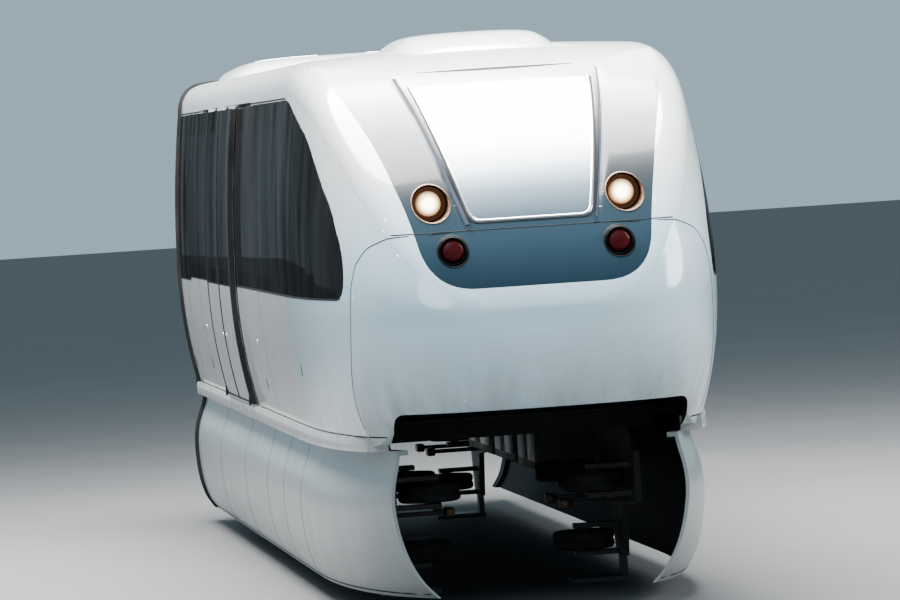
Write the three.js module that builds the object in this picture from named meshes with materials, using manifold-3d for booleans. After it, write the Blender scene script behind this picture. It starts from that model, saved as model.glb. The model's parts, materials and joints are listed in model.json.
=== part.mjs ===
// End car of a straddle-beam monorail train: hollow body, sliding doors, two swivelling bogies.
// Millimetres. X points to the nose, Y to the car's left, Z up. The origin lies on the beam's
// running surface, on the centreline, midway between the two bogie centres.
import * as THREE from 'three';
import { mergeVertices } from 'three/addons/utils/BufferGeometryUtils.js';
import Module from 'manifold-3d';

const wasm = await Module();
wasm.setup();

// Driving dimensions of the car
const GAP = 0.3;
const REAR_X = -5250;
const NOSE_X = 6650;
const NOSE_LENGTH = 3200;
const BOGIE_X = 3800;
const HALF_WIDTH = 1310;
const WAIST_Z = 1000;
const BASE_Z = 50;
const CREST_Z = 2520;
const ROOF_EDGE_Z = 2263;
const BAND_TOP_Z = 2240;
const BAND_LOW_Z = 990;
const LOW_SIDE_RADIUS = 3600;
const HIGH_SIDE_RADIUS = 9270;
const SHOULDER = { y: 1020, z: 2483, pull: 12, lift: 205 };
const WALL = 65;
const GLASS = 12;
const FLOOR_Z = 180;
const FLOOR_THICK = 50;
const FLOOR_HALF = 1100;
const FLOOR_FRONT = 5210;
const LEDGE = { top: 134, low: 47, half: 1240, inner: 1060, front: 5785, fade: 5200, flush: 45 };
const JOIN_X = 3900;

// Nose: how the full section shrinks towards the tip
const TIP_Z = 850;
const PLAN = { power: 3.2, root: 4.5 };
const PROFILE = { power: 2.76, root: 1.1 };
const BLUNT = { share: 0.12, power: 2.6, root: 2.8 };
const CHIN_LENGTH = 1100;
const DRAW_BACK = { chin: 450, roof: 450, roofFrom: 1300, fade: 800 };
const NOSE_STATIONS = [3200, 2750, 2300, 1900, 1550, 1250, 980, 740, 540, 380, 250, 150, 80, 35, 12, 3];

// Doorway and outside-hung sliding leaves
const SEAM_X = -950;
const LEAF = { width: 1050, stand: 8, thick: 35, low: 140, top: 2235, lap: 50 };
const DOOR_TRAVEL = 1000;
const TRACK_END = 150;
const TRACK = {
  inner: 1060,
  face: 1110,
  lip: 1150,
  low: 2225,
  top: 2245.5,
  root: 2430,
  from: SEAM_X - LEAF.width - DOOR_TRAVEL - TRACK_END,
  to: SEAM_X + LEAF.width + DOOR_TRAVEL + TRACK_END,
};
const HOOK = { low: 2246, top: 2257, inner: 1116, length: 100, inset: 60 };

// Window holes: from and to at the top edge, slant shortens the bottom edge at that end
const WINDOW_Z = { low: 1100, top: 2080 };
const SIDE_WINDOWS = [
  { part: 'rear', from: -4750, to: -3500, slantFrom: 650, slantTo: 0 },
  { part: 'rear', from: -3330, to: -2150, slantFrom: 0, slantTo: 0 },
  { part: 'front', from: 270, to: 1750, slantFrom: 0, slantTo: 0 },
  { part: 'front', from: 1950, to: 3700, slantFrom: 0, slantTo: 650 },
];
const LEAF_WINDOW = { fromSeam: 120, width: 720 };

// Front face: corners as y, z seen from ahead, or x, z for the lower panel seen from the side,
// and how far each corner is cut back for its round
const WINDSHIELD = [[-358, 1425, 60], [358, 1425, 60], [556, 2262, 50], [-556, 2262, 50]];
const MASK = [[-665, 1018, 280], [665, 1018, 280], [740, 1450, 150], [870, 1905, 150], [1090, 2430, 0],
  [660, 2362, 90], [-660, 2362, 90], [-1090, 2430, 0], [-870, 1905, 150], [-740, 1450, 150]];
const MASK_REAR = 4250;
const LOWER_PANEL = [[5800, -100, 0], [5805, 330, 150], [6040, 760, 150], [6130, 1366, 300],
  [7500, 1366, 0], [7500, -100, 0]];
const HEAD_LAMP = { y: 594, z: 1540, radius: 115, face: 600 };
const TAIL_LAMP = { y: 507, z: 1250, radius: 92, face: 210 };
const LAMP_SEGMENTS = 20;
const ROUND_STEPS = 4;
const LAMP_TUNNEL = { back: 420, ahead: 900 };
const BEAM_NOTCH = { half: 900, top: 280, corner: 50 };

// Skirts beside the beam: z, half-width of the outer face
const SKIRT_OUTLINE = [
  { z: 46, y: 1165 }, { z: -40, y: 1185 }, { z: -200, y: 1240 }, { z: -360, y: 1260 },
  { z: -590, y: 1247 }, { z: -760, y: 1205 }, { z: -870, y: 1140 },
];
const SKIRT = { thick: 30, flange: 90, front: 5900, back: 750, foot: 350, deep: 900 };

// Roof fairings: half width, rise above the crest, and a lengthwise profile as x, height above the crest
const HUMP_LOW = 2180;
const HUMP_ACROSS = [[1, -0.3], [0.95, 0.15], [0.86, 0.52], [0.74, 0.82], [0.5, 0.95], [0.25, 1]];
const HUMPS = [
  { name: 'roof_fairing_rear', half: 930, rise: 120,
    profile: [[-5250, 120], [-4400, 120], [-4100, 105], [-3850, 70], [-3680, 20], [-3560, -40]] },
  { name: 'roof_fairing_front', half: 520, rise: 93,
    profile: [[2250, -35], [2400, 20], [2700, 70], [3050, 93], [3650, 93], [3950, 70], [4200, 5],
      [4480, -110]] },
];

// Running gear, measured from each bogie's centre
const TYRE = { radius: 420, half: 190, bead: 260, shoulder: 40, seat: 1.6 };
const AXLE = { radius: 45, hole: 45.55, half: 255, z: 420 };
const CHEEK = { inner: 215, outer: 245, half: 360, top: 510, low: 90 };
const BAR = { half: 560, from: 470, low: 30, top: 90, half_y: 790 };
const LEG = { inner: 760, outer: 800 };
const GUIDE = { radius: 200, half: 60, bore: 30.7, y: 530, x: 680, z: -300 };
const STABILISER = { radius: 200, half: 60, bore: 30.7, y: 530, x: 0, z: -715 };
const PIN_RADIUS = 30;
const FORK = { clear: 15, thick: 30, half: 60 };
const SPRING = { radius: 150, y: 600, low: 40, top: 129.5 };
const HOUSING = { half_x: 640, half_y: 320, wall: 30, top: 910 };
const WELL = { half_x: 610, half_y: 290 };
const BENCH = { depth: 500, seat: 630, back: 1240, half: 1000, foot: 90 };

const COLOURS = {
  white: [0xf2f4f5, 0.25, 0.1], silver: [0x9aa3ab, 0.35, 0.7], glass: [0x15191d, 0.08, 0.2],
  rubber: [0x141414, 0.8, 0.0], steel: [0x4a4e52, 0.6, 0.6], ledge: [0xd5d8d8, 0.4, 0.5],
  lamp: [0xffe9c4, 0.2, 0.2], red: [0x3a0508, 0.25, 0.1], seat: [0x3b4a5a, 0.7, 0.0],
  dark: [0x202326, 0.6, 0.3],
};

// Turns a closed geometry into a solid that can be joined and cut.
function solid(geometry) {
  geometry.deleteAttribute('normal');
  geometry.deleteAttribute('uv');
  const merged = mergeVertices(geometry, 1e-3);
  const mesh = new wasm.Mesh({
    numProp: 3,
    vertProperties: new Float32Array(merged.attributes.position.array),
    triVerts: new Uint32Array(merged.index.array),
  });
  return new wasm.Manifold(mesh);
}

function shapeOf(points) {
  return new THREE.Shape(points.map(([a, b]) => new THREE.Vector2(a, b)));
}

// Moves every vertex of a geometry by a function of x, y, z.
function moved(geometry, place) {
  const position = geometry.attributes.position;
  for (let i = 0; i < position.count; i += 1) {
    const [x, y, z] = place(position.getX(i), position.getY(i), position.getZ(i));
    position.setXYZ(i, x, y, z);
  }
  return geometry;
}

function extruded(points, depth, steps) {
  return new THREE.ExtrudeGeometry(shapeOf(points), { depth, steps, bevelEnabled: false });
}

// Prism of a y, z outline between two places along the car.
function prismX(points, from, to) {
  return solid(moved(extruded(points, to - from, 1), (a, b, c) => [from + c, a, b]));
}

// Prism of an x, z outline between two places across the car.
function prismY(points, from, to) {
  return solid(moved(extruded(points, to - from, 1), (a, b, c) => [a, to - c, b]));
}

function box(x0, x1, y0, y1, z0, z1) {
  const geometry = new THREE.BoxGeometry(x1 - x0, y1 - y0, z1 - z0);
  geometry.translate((x0 + x1) / 2, (y0 + y1) / 2, (z0 + z1) / 2);
  return solid(geometry);
}

// Body of revolution from a radius, height profile, its axis along X, Y or Z through a point.
function turned(profile, axis, centre, segments = 24) {
  const closed = [...profile, profile[0]].map(([r, h]) => new THREE.Vector2(r, h));
  const geometry = new THREE.LatheGeometry(closed, segments);
  const turn = {
    x: (x, y, z) => [y, z, x],
    y: (x, y, z) => [x, y, z],
    z: (x, y, z) => [z, x, y],
  }[axis];
  return solid(moved(geometry, (x, y, z) => {
    const [a, b, c] = turn(x, y, z);
    return [a + centre[0], b + centre[1], c + centre[2]];
  }));
}

function drum(axis, centre, radius, low, high, segments = 24) {
  return turned([[0, low], [radius, low], [radius, high], [0, high]], axis, centre, segments);
}

function joined(solids) {
  return solids.reduce((whole, piece) => whole.add(piece));
}

// Outline with rounded corners: each row gives a corner and how far it is cut back.
function rounded(rows) {
  return rows.flatMap(([a, b, cut], i) => {
    if (cut === 0) {
      return [[a, b]];
    }
    const [before, corner, after] = [rows.at(i - 1), rows[i], rows[(i + 1) % rows.length]]
      .map((row) => new THREE.Vector2(row[0], row[1]));
    const start = before.sub(corner).setLength(cut).add(corner);
    const end = after.sub(corner).setLength(cut).add(corner);
    const bend = new THREE.QuadraticBezierCurve(start, corner, end);
    return bend.getPoints(ROUND_STEPS).map((p) => [p.x, p.y]);
  });
}

// Outline rectangle with cut-round corners, as points.
function roundedRect(a0, a1, b0, b1, radius, steps = 4) {
  const corners = [[a1 - radius, b0 + radius, -90], [a1 - radius, b1 - radius, 0],
    [a0 + radius, b1 - radius, 90], [a0 + radius, b0 + radius, 180]];
  const points = [];
  for (const [a, b, start] of corners) {
    for (let i = 0; i <= steps; i += 1) {
      const angle = THREE.MathUtils.degToRad(start + (90 * i) / steps);
      points.push([a + radius * Math.cos(angle), b + radius * Math.sin(angle)]);
    }
  }
  return points;
}

// Body section

function sideY(z) {
  const radius = z < WAIST_Z ? LOW_SIDE_RADIUS : HIGH_SIDE_RADIUS;
  return HALF_WIDTH - (z - WAIST_Z) ** 2 / (2 * radius);
}

// Right half of the section from the base to the crest, shrunk by an inset (grown if negative).
function halfSection(inset) {
  const points = [];
  const sideHeights = [BASE_Z, LEDGE.top, 320, 540, 770, WAIST_Z, 1300, 1600, 1900, 2100, ROOF_EDGE_Z];
  for (const z of sideHeights) {
    points.push([sideY(z) - inset, z]);
  }
  const edgeY = sideY(ROOF_EDGE_Z);
  const curve = new THREE.QuadraticBezierCurve(
    new THREE.Vector2(edgeY - inset, ROOF_EDGE_Z),
    new THREE.Vector2(edgeY - SHOULDER.pull - inset, ROOF_EDGE_Z + SHOULDER.lift - inset),
    new THREE.Vector2(SHOULDER.y - inset * 0.6, SHOULDER.z - inset),
  );
  for (const p of curve.getPoints(5).slice(1)) {
    points.push([p.x, p.y]);
  }
  for (const share of [0.66, 0.33]) {
    const y = (SHOULDER.y - inset * 0.6) * share;
    points.push([y, CREST_Z - inset - (CREST_Z - SHOULDER.z) * share ** 2]);
  }
  points.push([0, CREST_Z - inset]);
  return points;
}

function fullSection(inset) {
  const half = halfSection(inset);
  const other = half.slice(0, -1).map(([y, z]) => [-y, z]).reverse();
  return [...half, ...other];
}

// Nose taper

function superRound(share, power, root) {
  const s = Math.min(Math.max(share, 0), 1);
  return (1 - (1 - s) ** power) ** (1 / root);
}

function planFactor(back) {
  return superRound(back / NOSE_LENGTH, PLAN.power, PLAN.root);
}

function profileFactor(back) {
  const straight = superRound(back / NOSE_LENGTH, PROFILE.power, PROFILE.root);
  const blunt = superRound(back / NOSE_LENGTH, BLUNT.power, BLUNT.root);
  return (1 - BLUNT.share) * straight + BLUNT.share * blunt;
}

function chinFactor(back) {
  return superRound(back / CHIN_LENGTH, 2, 2);
}

// Width factor where the plan curve is drawn back by a length that fades out at the tip.
function drawnFactor(back, drawn) {
  return planFactor(back - drawn * (1 - Math.exp(-back / DRAW_BACK.fade)));
}

function noseShape(tipX) {
  return (x, y, z) => {
    const back = tipX - x;
    if (back >= NOSE_LENGTH) {
      return [x, y, z];
    }
    const below = Math.min(Math.max((TIP_Z - z) / (TIP_Z - BASE_Z), 0), 1);
    const above = Math.min(Math.max((z - DRAW_BACK.roofFrom) / (CREST_Z - DRAW_BACK.roofFrom), 0), 1);
    const width = y * drawnFactor(back, DRAW_BACK.chin * below ** 2 + DRAW_BACK.roof * above ** 2);
    const height = z > TIP_Z
      ? TIP_Z + (z - TIP_Z) * profileFactor(back)
      : TIP_Z - (TIP_Z - z) * chinFactor(back);
    return [x, width, height];
  };
}

// Body-shaped solid, inset all round, its tip set back by the same amount.
function bodySolid(inset, rearX = REAR_X) {
  const tipX = NOSE_X - inset;
  const stations = [rearX, ...NOSE_STATIONS.map((back) => tipX - back)];
  const steps = stations.length - 1;
  const geometry = extruded(fullSection(inset), steps, steps);
  const shape = noseShape(tipX);
  return solid(moved(geometry, (a, b, c) => shape(stations[Math.round(c)], a, b)));
}

// Straight section prism for pieces that stay clear of the nose.
function straightShell(outset, inset, from, to) {
  return prismX(fullSection(outset), from, to).subtract(prismX(fullSection(inset), from - 1, to + 1));
}

const outer = bodySolid(0);
const glassInner = bodySolid(GLASS);
const glassSeat = bodySolid(GLASS + GAP);
const cabin = bodySolid(WALL);
const cabinFit = bodySolid(WALL + GAP);
const shell = outer.subtract(prismX(fullSection(WALL), REAR_X - 1, REAR_X + 10).add(cabin));
const skin = outer.subtract(glassInner);

const doorway = { from: SEAM_X - LEAF.width + LEAF.lap, to: SEAM_X + LEAF.width - LEAF.lap };
const far = 9000;

function sideSpan(side, near, away) {
  return side > 0 ? [near, away] : [-away, -near];
}

// Glass bands: x, z outlines seen from the side

const BAND_STEP = { length: 1050, drop: 25 };
const REAR_BAND = [[REAR_X, BAND_LOW_Z - BAND_STEP.drop],
  [REAR_X + BAND_STEP.length, BAND_LOW_Z - BAND_STEP.drop], [REAR_X + BAND_STEP.length + 25, BAND_LOW_Z],
  [doorway.from - GAP, BAND_LOW_Z], [doorway.from - GAP, BAND_TOP_Z], [REAR_X, BAND_TOP_Z]];
const FRONT_BAND = rounded([[doorway.to + GAP, BAND_LOW_Z, 0], [5985, BAND_LOW_Z, 140], [5965, 1240, 110],
  [5700, 1535, 150], [5000, 1980, 220], [4150, 2217, 150], [3850, BAND_TOP_Z, 0],
  [doorway.to + GAP, BAND_TOP_Z, 0]]);

// Outline with every edge pushed outward by a distance.
function grown(points, by) {
  const sense = Math.sign(THREE.ShapeUtils.area(shapeOf(points).getPoints()));
  const normal = ([a, b], [c, d]) => new THREE.Vector2(d - b, a - c).normalize().multiplyScalar(sense);
  return points.map(([a, b], i) => {
    const next = points[(i + 1) % points.length];
    const before = normal(points.at(i - 1), [a, b]);
    const after = normal([a, b], next);
    const reach = by / (1 + before.dot(after));
    return [a + (before.x + after.x) * reach, b + (before.y + after.y) * reach];
  });
}

function windowHole(row) {
  const { low, top } = WINDOW_Z;
  const outline = [[row.from + row.slantFrom, low], [row.to - row.slantTo, low], [row.to, top],
    [row.from, top]];
  return prismY(outline, -2000, 2000);
}

function sideWall(side, part) {
  const span = sideSpan(side, 700, 1500);
  const from = part === 'rear' ? REAR_X : doorway.to;
  const to = part === 'rear' ? doorway.from : JOIN_X;
  let wall = shell.intersect(box(from, to, ...span, LEDGE.top + GAP, ROOF_EDGE_Z - GAP));
  wall = wall.subtract(box(TRACK.from, TRACK.to, ...span, BAND_TOP_Z, ROOF_EDGE_Z));
  for (const row of SIDE_WINDOWS.filter((w) => w.part === part)) {
    wall = wall.subtract(windowHole(row));
  }
  const band = prismY(grown(part === 'rear' ? REAR_BAND : FRONT_BAND, 1), ...span);
  return wall.subtract(band.subtract(glassSeat));
}

function glassBand(side, part) {
  const outline = part === 'rear' ? REAR_BAND : FRONT_BAND;
  return skin.intersect(prismY(outline, ...sideSpan(side, 500, 1500)));
}

// Roof with the door tracks hung inside its edge

function roofShell() {
  const roof = shell.intersect(box(REAR_X, JOIN_X, -1500, 1500, ROOF_EDGE_Z, far));
  const tracks = [-1, 1].map((side) => {
    const rail = box(TRACK.from, TRACK.to, ...sideSpan(side, TRACK.inner, TRACK.face), TRACK.low, TRACK.root);
    const lip = box(TRACK.from, TRACK.to, ...sideSpan(side, TRACK.face, TRACK.lip), TRACK.low, TRACK.top);
    return rail.add(lip);
  });
  return joined([roof, ...tracks]);
}

function roofFairing(row) {
  const { half, rise, profile } = row;
  const rear = profile[0][0];
  const front = profile[profile.length - 1][0];
  const side = profile.map(([x, up]) => [x, CREST_Z + up]).reverse();
  const lengthwise = prismY([[rear, HUMP_LOW], [front, HUMP_LOW], ...side], -half, half);
  const right = [[half, HUMP_LOW], ...HUMP_ACROSS.map(([share, up]) => [half * share, CREST_Z + rise * up])];
  const left = right.map(([y, z]) => [-y, z]).reverse();
  const across = prismX([...right, ...left], rear, far);
  return lengthwise.intersect(across).subtract(bodySolid(-GAP, REAR_X - 100));
}

// Nose

const notchOutline = roundedRect(-BEAM_NOTCH.half, BEAM_NOTCH.half, -400, BEAM_NOTCH.top, BEAM_NOTCH.corner);
const notch = prismX(notchOutline, 5000, 7000);
const lowerX = LOWER_PANEL[0][0];
const DECK = { rear: FLOOR_FRONT + 5, rooted: 5900, front: 6500, half: 1400, low: 300, top: 340, riser: 40,
  lap: 50 };

function lowerPanelRegion(by) {
  return prismY(grown(rounded(LOWER_PANEL), by), -2000, 2000);
}

function frontPrism(points, by = 0) {
  return prismX(grown(rounded(points), by), NOSE_X - 3000, NOSE_X + 200);
}

function maskZone(by = 0) {
  return frontPrism(MASK, by).intersect(box(MASK_REAR - by, far, -2000, 2000, 0, far));
}

function lampHole(lamp, clearance) {
  const radius = lamp.radius + clearance / Math.cos(Math.PI / LAMP_SEGMENTS);
  return joined([-1, 1].map((side) => drum('x', [NOSE_X - lamp.face, side * lamp.y, lamp.z],
    radius, -LAMP_TUNNEL.back, LAMP_TUNNEL.ahead, LAMP_SEGMENTS)));
}

const lampHoles = lampHole(HEAD_LAMP, GAP).add(lampHole(TAIL_LAMP, GAP));

function bandRecess() {
  return joined([-1, 1].map((side) => prismY(grown(FRONT_BAND, 1), ...sideSpan(side, 500, 1500))))
    .subtract(glassSeat);
}

function noseShell() {
  const region = box(JOIN_X + GAP, far, -2000, 2000, LEDGE.top + GAP, far);
  return shell.intersect(region)
    .subtract(lowerPanelRegion(GAP))
    .subtract(maskZone(GAP))
    .subtract(bandRecess())
    .subtract(box(lowerX - 2, far, -2000, 2000, -500, LEDGE.top + 40));
}

function noseLowerPanel() {
  const panel = shell.intersect(lowerPanelRegion(0)).intersect(box(lowerX, far, -2000, 2000, BASE_Z, far));
  const across = [-DECK.half, DECK.half];
  const deck = (from, to) => box(from, to, ...across, DECK.low, DECK.top);
  const rootedDeck = bodySolid(WALL / 2).intersect(deck(DECK.rooted, DECK.front));
  const freeDeck = cabinFit.intersect(deck(DECK.rear, DECK.rooted + DECK.lap));
  const step = box(DECK.rear, DECK.rear + DECK.riser, ...across, FLOOR_Z + GAP, DECK.top - 20);
  const riser = cabinFit.intersect(step);
  return joined([panel, rootedDeck, freeDeck, riser])
    .subtract(notch)
    .subtract(maskZone(GAP))
    .subtract(bandRecess());
}

function maskPanel() {
  return shell.intersect(maskZone())
    .subtract(frontPrism(WINDSHIELD, GAP))
    .subtract(lampHoles);
}

function windshield() {
  return skin.intersect(frontPrism(WINDSHIELD));
}

// Lamp unit: a drum with a bowl cut in its face and a bulged lens seat at the bottom of the bowl.
function lampUnit(lamp, side) {
  const r = lamp.radius;
  const profile = [[0, -180], [r * 0.7, -180], [r, -90], [r, 0], [r * 0.88, 6], [r * 0.8, -4],
    [r * 0.62, -34], [r * 0.45, -40], [r * 0.3, -28], [0, -22]];
  return turned(profile, 'x', [NOSE_X - lamp.face, side * lamp.y, lamp.z], LAMP_SEGMENTS);
}

// Rear end

const REAR_GLASS = { half: 450, low: 1050, top: 2050, corner: 120, lap: 30, seat: 15 };

function rearBulkhead() {
  const plate = prismX(fullSection(WALL + GAP), REAR_X, REAR_X + 50)
    .intersect(box(REAR_X, 0, -1500, 1500, FLOOR_Z + GAP, far));
  const { half, low, top, corner, lap, seat } = REAR_GLASS;
  return plate.subtract(prismX(roundedRect(-half, half, low, top, corner), REAR_X - 10, REAR_X + 60))
    .subtract(box(REAR_X - 10, REAR_X + seat, -half - lap, half + lap, low - lap, top + lap));
}

function rearWindow() {
  const { half, low, top, lap, seat } = REAR_GLASS;
  const edge = lap - 1;
  return box(REAR_X + 5, REAR_X + seat - GAP, -half - edge, half + edge, low - edge, top + edge);
}

// Outer outline of the end band: skirt, ledge and body, from the low left over the roof.
function endOutline(inset) {
  const skirt = [...SKIRT_OUTLINE].reverse().map((row) => [row.y - inset, row.z]);
  const body = halfSection(inset).filter(([, z]) => z > LEDGE.top);
  return [...skirt, [LEDGE.half - 20 - inset, LEDGE.top - 30], ...body];
}

const END_BAND = { inset: -15, thick: 80, length: 220 };

function endBand() {
  const outside = endOutline(END_BAND.inset);
  const inside = endOutline(END_BAND.inset + END_BAND.thick);
  const mirror = (points) => points.slice(0, -1).map(([y, z]) => [-y, z]).reverse();
  const ring = [...outside, ...mirror(outside), ...mirror(inside).reverse(), ...[...inside].reverse()];
  const apart = ([a, b], [c, d]) => Math.hypot(a - c, b - d) > 0.01;
  const clean = ring.filter((p, i) => i === 0 || apart(p, ring[i - 1]));
  return prismX(clean, REAR_X - END_BAND.length, REAR_X - GAP);
}

// Skirts

const SKIRT_STATIONS = {
  rear: [REAR_X, NOSE_X - NOSE_LENGTH - GAP],
  front: [NOSE_X - NOSE_LENGTH, 3900, 4300, 4650, 4950, 5200, 5420, 5600, 5760, SKIRT.front],
};

function skirt(side, part) {
  const outside = SKIRT_OUTLINE.map((row) => [row.y, row.z]);
  const inside = SKIRT_OUTLINE.map((row) => [row.y - SKIRT.thick, row.z]).reverse();
  inside[0] = [inside[0][0] + 4, inside[0][1]];
  const top = SKIRT_OUTLINE[0];
  const flange = [[top.y - SKIRT.thick, top.z - SKIRT.thick], [top.y - SKIRT.flange, top.z - SKIRT.thick],
    [top.y - SKIRT.flange, top.z]];
  const section = [...outside, ...inside.slice(0, -1), ...flange];
  const stations = SKIRT_STATIONS[part];
  const steps = stations.length - 1;
  const geometry = extruded(section, steps, steps);
  const place = (a, b, c) => {
    const x = stations[Math.round(c)];
    const drawn = SKIRT.back + SKIRT.foot * (Math.min(b, 0) / SKIRT.deep) ** 2;
    return [x, a * drawnFactor(NOSE_X - x, drawn), b];
  };
  const left = solid(moved(geometry, place));
  return side > 0 ? left : left.mirror([0, 1, 0]);
}

// Underframe: floor, side ledges, wheel wells, coupler pocket and front beam

// Bar whose points narrow with the body; the ledges also fade into its side at their front ends.
function taperedBar(section, from, to) {
  const inner = [3450, 3900, 4300, 4650, 4950, 5200, 5420, 5610].filter((x) => x > from && x < to);
  const stations = [from, ...inner, to];
  const steps = stations.length - 1;
  const geometry = extruded(section, steps, steps);
  return solid(moved(geometry, (a, b, c) => {
    const x = stations[Math.round(c)];
    const fade = Math.max((x - LEDGE.fade) / (LEDGE.front - LEDGE.fade), 0) ** 2;
    const width = Math.abs(a) > FLOOR_HALF ? a - Math.sign(a) * LEDGE.flush * fade : a;
    return [x, width * drawnFactor(NOSE_X - x, DRAW_BACK.chin), b];
  }));
}

const FRONT_BEAM = { from: 5130, half: 820, low: 60, top: 170 };
const COUPLER = { length: 230, root: 400, half: 200, low: 40, top: 150 };
const PAD = { x: 2300, y: 950, half_x: 150, half_y: 60, low: 30 };

function underframe() {
  const low = FLOOR_Z - FLOOR_THICK;
  const floor = taperedBar([[-FLOOR_HALF, low], [FLOOR_HALF, low], [FLOOR_HALF, FLOOR_Z],
    [-FLOOR_HALF, FLOOR_Z]], REAR_X, FLOOR_FRONT);
  const ledges = [-1, 1].map((side) => {
    const [a, b] = sideSpan(side, LEDGE.inner, LEDGE.half);
    return taperedBar([[a, LEDGE.low], [b, LEDGE.low], [b, LEDGE.top], [a, LEDGE.top]], REAR_X, LEDGE.front);
  });
  const pads = [];
  for (const x of [-PAD.x, PAD.x]) {
    for (const side of [-1, 1]) {
      const y = side * PAD.y;
      pads.push(box(x - PAD.half_x, x + PAD.half_x, y - PAD.half_y, y + PAD.half_y, PAD.low, low + 5));
    }
  }
  const coupler = box(REAR_X - COUPLER.length, REAR_X + COUPLER.root, -COUPLER.half, COUPLER.half,
    COUPLER.low, COUPLER.top);
  const frontBeam = box(FRONT_BEAM.from, FLOOR_FRONT, -FRONT_BEAM.half, FRONT_BEAM.half,
    FRONT_BEAM.low, FRONT_BEAM.top);
  let frame = joined([floor, ...ledges, ...pads, coupler, frontBeam]);
  for (const x of [-BOGIE_X, BOGIE_X]) {
    const well = box(x - WELL.half_x, x + WELL.half_x, -WELL.half_y, WELL.half_y, -100, FLOOR_Z + 50);
    frame = frame.subtract(well);
  }
  return frame;
}

// Wheel housing with a bench against each end of it
function seatBlock(x) {
  const h = HOUSING;
  const outside = box(x - h.half_x, x + h.half_x, -h.half_y, h.half_y, FLOOR_Z + GAP, h.top);
  const inside = box(x - h.half_x + h.wall, x + h.half_x - h.wall, -h.half_y + h.wall, h.half_y - h.wall,
    0, h.top - h.wall);
  const benches = [-1, 1].map((end) => {
    const near = h.half_x - 10;
    const tip = near + BENCH.depth;
    const profile = [[near, BENCH.back], [near + 90, BENCH.back], [near + 130, BENCH.seat], [tip, BENCH.seat],
      [tip, BENCH.seat - 110], [tip - BENCH.foot, FLOOR_Z + GAP], [near, FLOOR_Z + GAP]];
    const points = profile.map(([a, b]) => [x + end * a, b]);
    return prismY(end > 0 ? points.reverse() : points, -BENCH.half, BENCH.half);
  });
  const room = cabinFit.subtract(box(FLOOR_FRONT, far, -2000, 2000, 0, far));
  return joined([outside, ...benches]).subtract(inside).intersect(room);
}

// Doors

function leafSpan(end) {
  return end > 0 ? [SEAM_X + 3, SEAM_X + LEAF.width] : [SEAM_X - LEAF.width, SEAM_X - 3];
}

function leafWindowHole(end) {
  const from = SEAM_X + end * LEAF_WINDOW.fromSeam;
  const to = from + end * LEAF_WINDOW.width;
  return box(Math.min(from, to), Math.max(from, to), -2000, 2000, WINDOW_Z.low, WINDOW_Z.top);
}

function doorLeaf(side, end) {
  const [from, to] = leafSpan(end);
  const y = sideSpan(side, 900, 1500);
  const face = -LEAF.stand - LEAF.thick;
  const full = straightShell(face, -LEAF.stand, from, to);
  const glassZone = straightShell(face - 5, face + GLASS + GAP, from - 5, to + 5)
    .intersect(box(from - 5, to + 5, ...y, BAND_LOW_Z - GAP, far));
  const panel = full.intersect(box(from, to, ...y, LEAF.low, LEAF.top))
    .subtract(glassZone)
    .subtract(leafWindowHole(end));
  const hooks = [from + HOOK.inset, to - HOOK.inset - HOOK.length].map((x) => {
    const stem = straightShell(face + GLASS + 1, -LEAF.stand, x, x + HOOK.length)
      .intersect(box(x, x + HOOK.length, ...y, LEAF.top - 40, HOOK.top));
    const reach = sideY(BAND_TOP_Z) + LEAF.stand + 15;
    return stem.add(box(x, x + HOOK.length, ...sideSpan(side, HOOK.inner, reach), HOOK.low, HOOK.top));
  });
  return joined([panel, ...hooks]);
}

function leafGlass(side, end) {
  const [from, to] = leafSpan(end);
  const outset = LEAF.stand + LEAF.thick;
  return straightShell(-outset, -outset + GLASS, from, to)
    .intersect(box(from, to, ...sideSpan(side, 900, 1500), BAND_LOW_Z, LEAF.top));
}

// Running gear

function bogieFrame(x) {
  const parts = [];
  for (const side of [-1, 1]) {
    const cheek = sideSpan(side, CHEEK.inner, CHEEK.outer);
    parts.push(box(x - CHEEK.half, x + CHEEK.half, ...cheek, CHEEK.low, CHEEK.top));
    parts.push(box(x - BAR.half, x + BAR.half, ...cheek, BAR.low, 120));
    const leg = [[-880, -440], [-260, -500], [-160, -830], [160, -830], [260, -500], [880, -440],
      [880, -120], [600, 90], [-600, 90], [-880, -120]].map(([dx, z]) => [x + dx, z]);
    parts.push(prismY(leg, ...sideSpan(side, LEG.inner, LEG.outer)));
    parts.push(box(x - 170, x + 170, ...sideSpan(side, CHEEK.outer - 10, LEG.inner + 10), 12, SPRING.low));
    parts.push(drum('z', [x, side * SPRING.y, 0], SPRING.radius, SPRING.low - 5, SPRING.top, 16));
    for (const [dx, wheel] of [[-GUIDE.x, GUIDE], [GUIDE.x, GUIDE], [0, STABILISER]]) {
      const y = sideSpan(side, wheel.y - FORK.half, LEG.inner + 10);
      const reach = wheel.half + FORK.clear;
      const cx = x + dx;
      parts.push(box(cx - FORK.half, cx + FORK.half, ...y, wheel.z + reach, wheel.z + reach + FORK.thick));
      parts.push(box(cx - FORK.half, cx + FORK.half, ...y, wheel.z - reach - FORK.thick, wheel.z - reach));
      parts.push(drum('z', [cx, side * wheel.y, wheel.z], PIN_RADIUS, -reach - 5, reach + 5, 16));
    }
    parts.push(box(x - 60, x + 60, ...sideSpan(side, LEG.inner, LEG.outer), -980, -800));
    parts.push(box(x - 130, x + 130, ...sideSpan(side, 430, LEG.outer), -990, -960));
  }
  for (const end of [-1, 1]) {
    const xs = end > 0 ? [x + BAR.from, x + BAR.half] : [x - BAR.half, x - BAR.from];
    parts.push(box(...xs, -BAR.half_y, BAR.half_y, BAR.low, BAR.top));
  }
  return joined(parts).subtract(drum('y', [x, 0, AXLE.z], AXLE.hole, -300, 300, 32));
}

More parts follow.
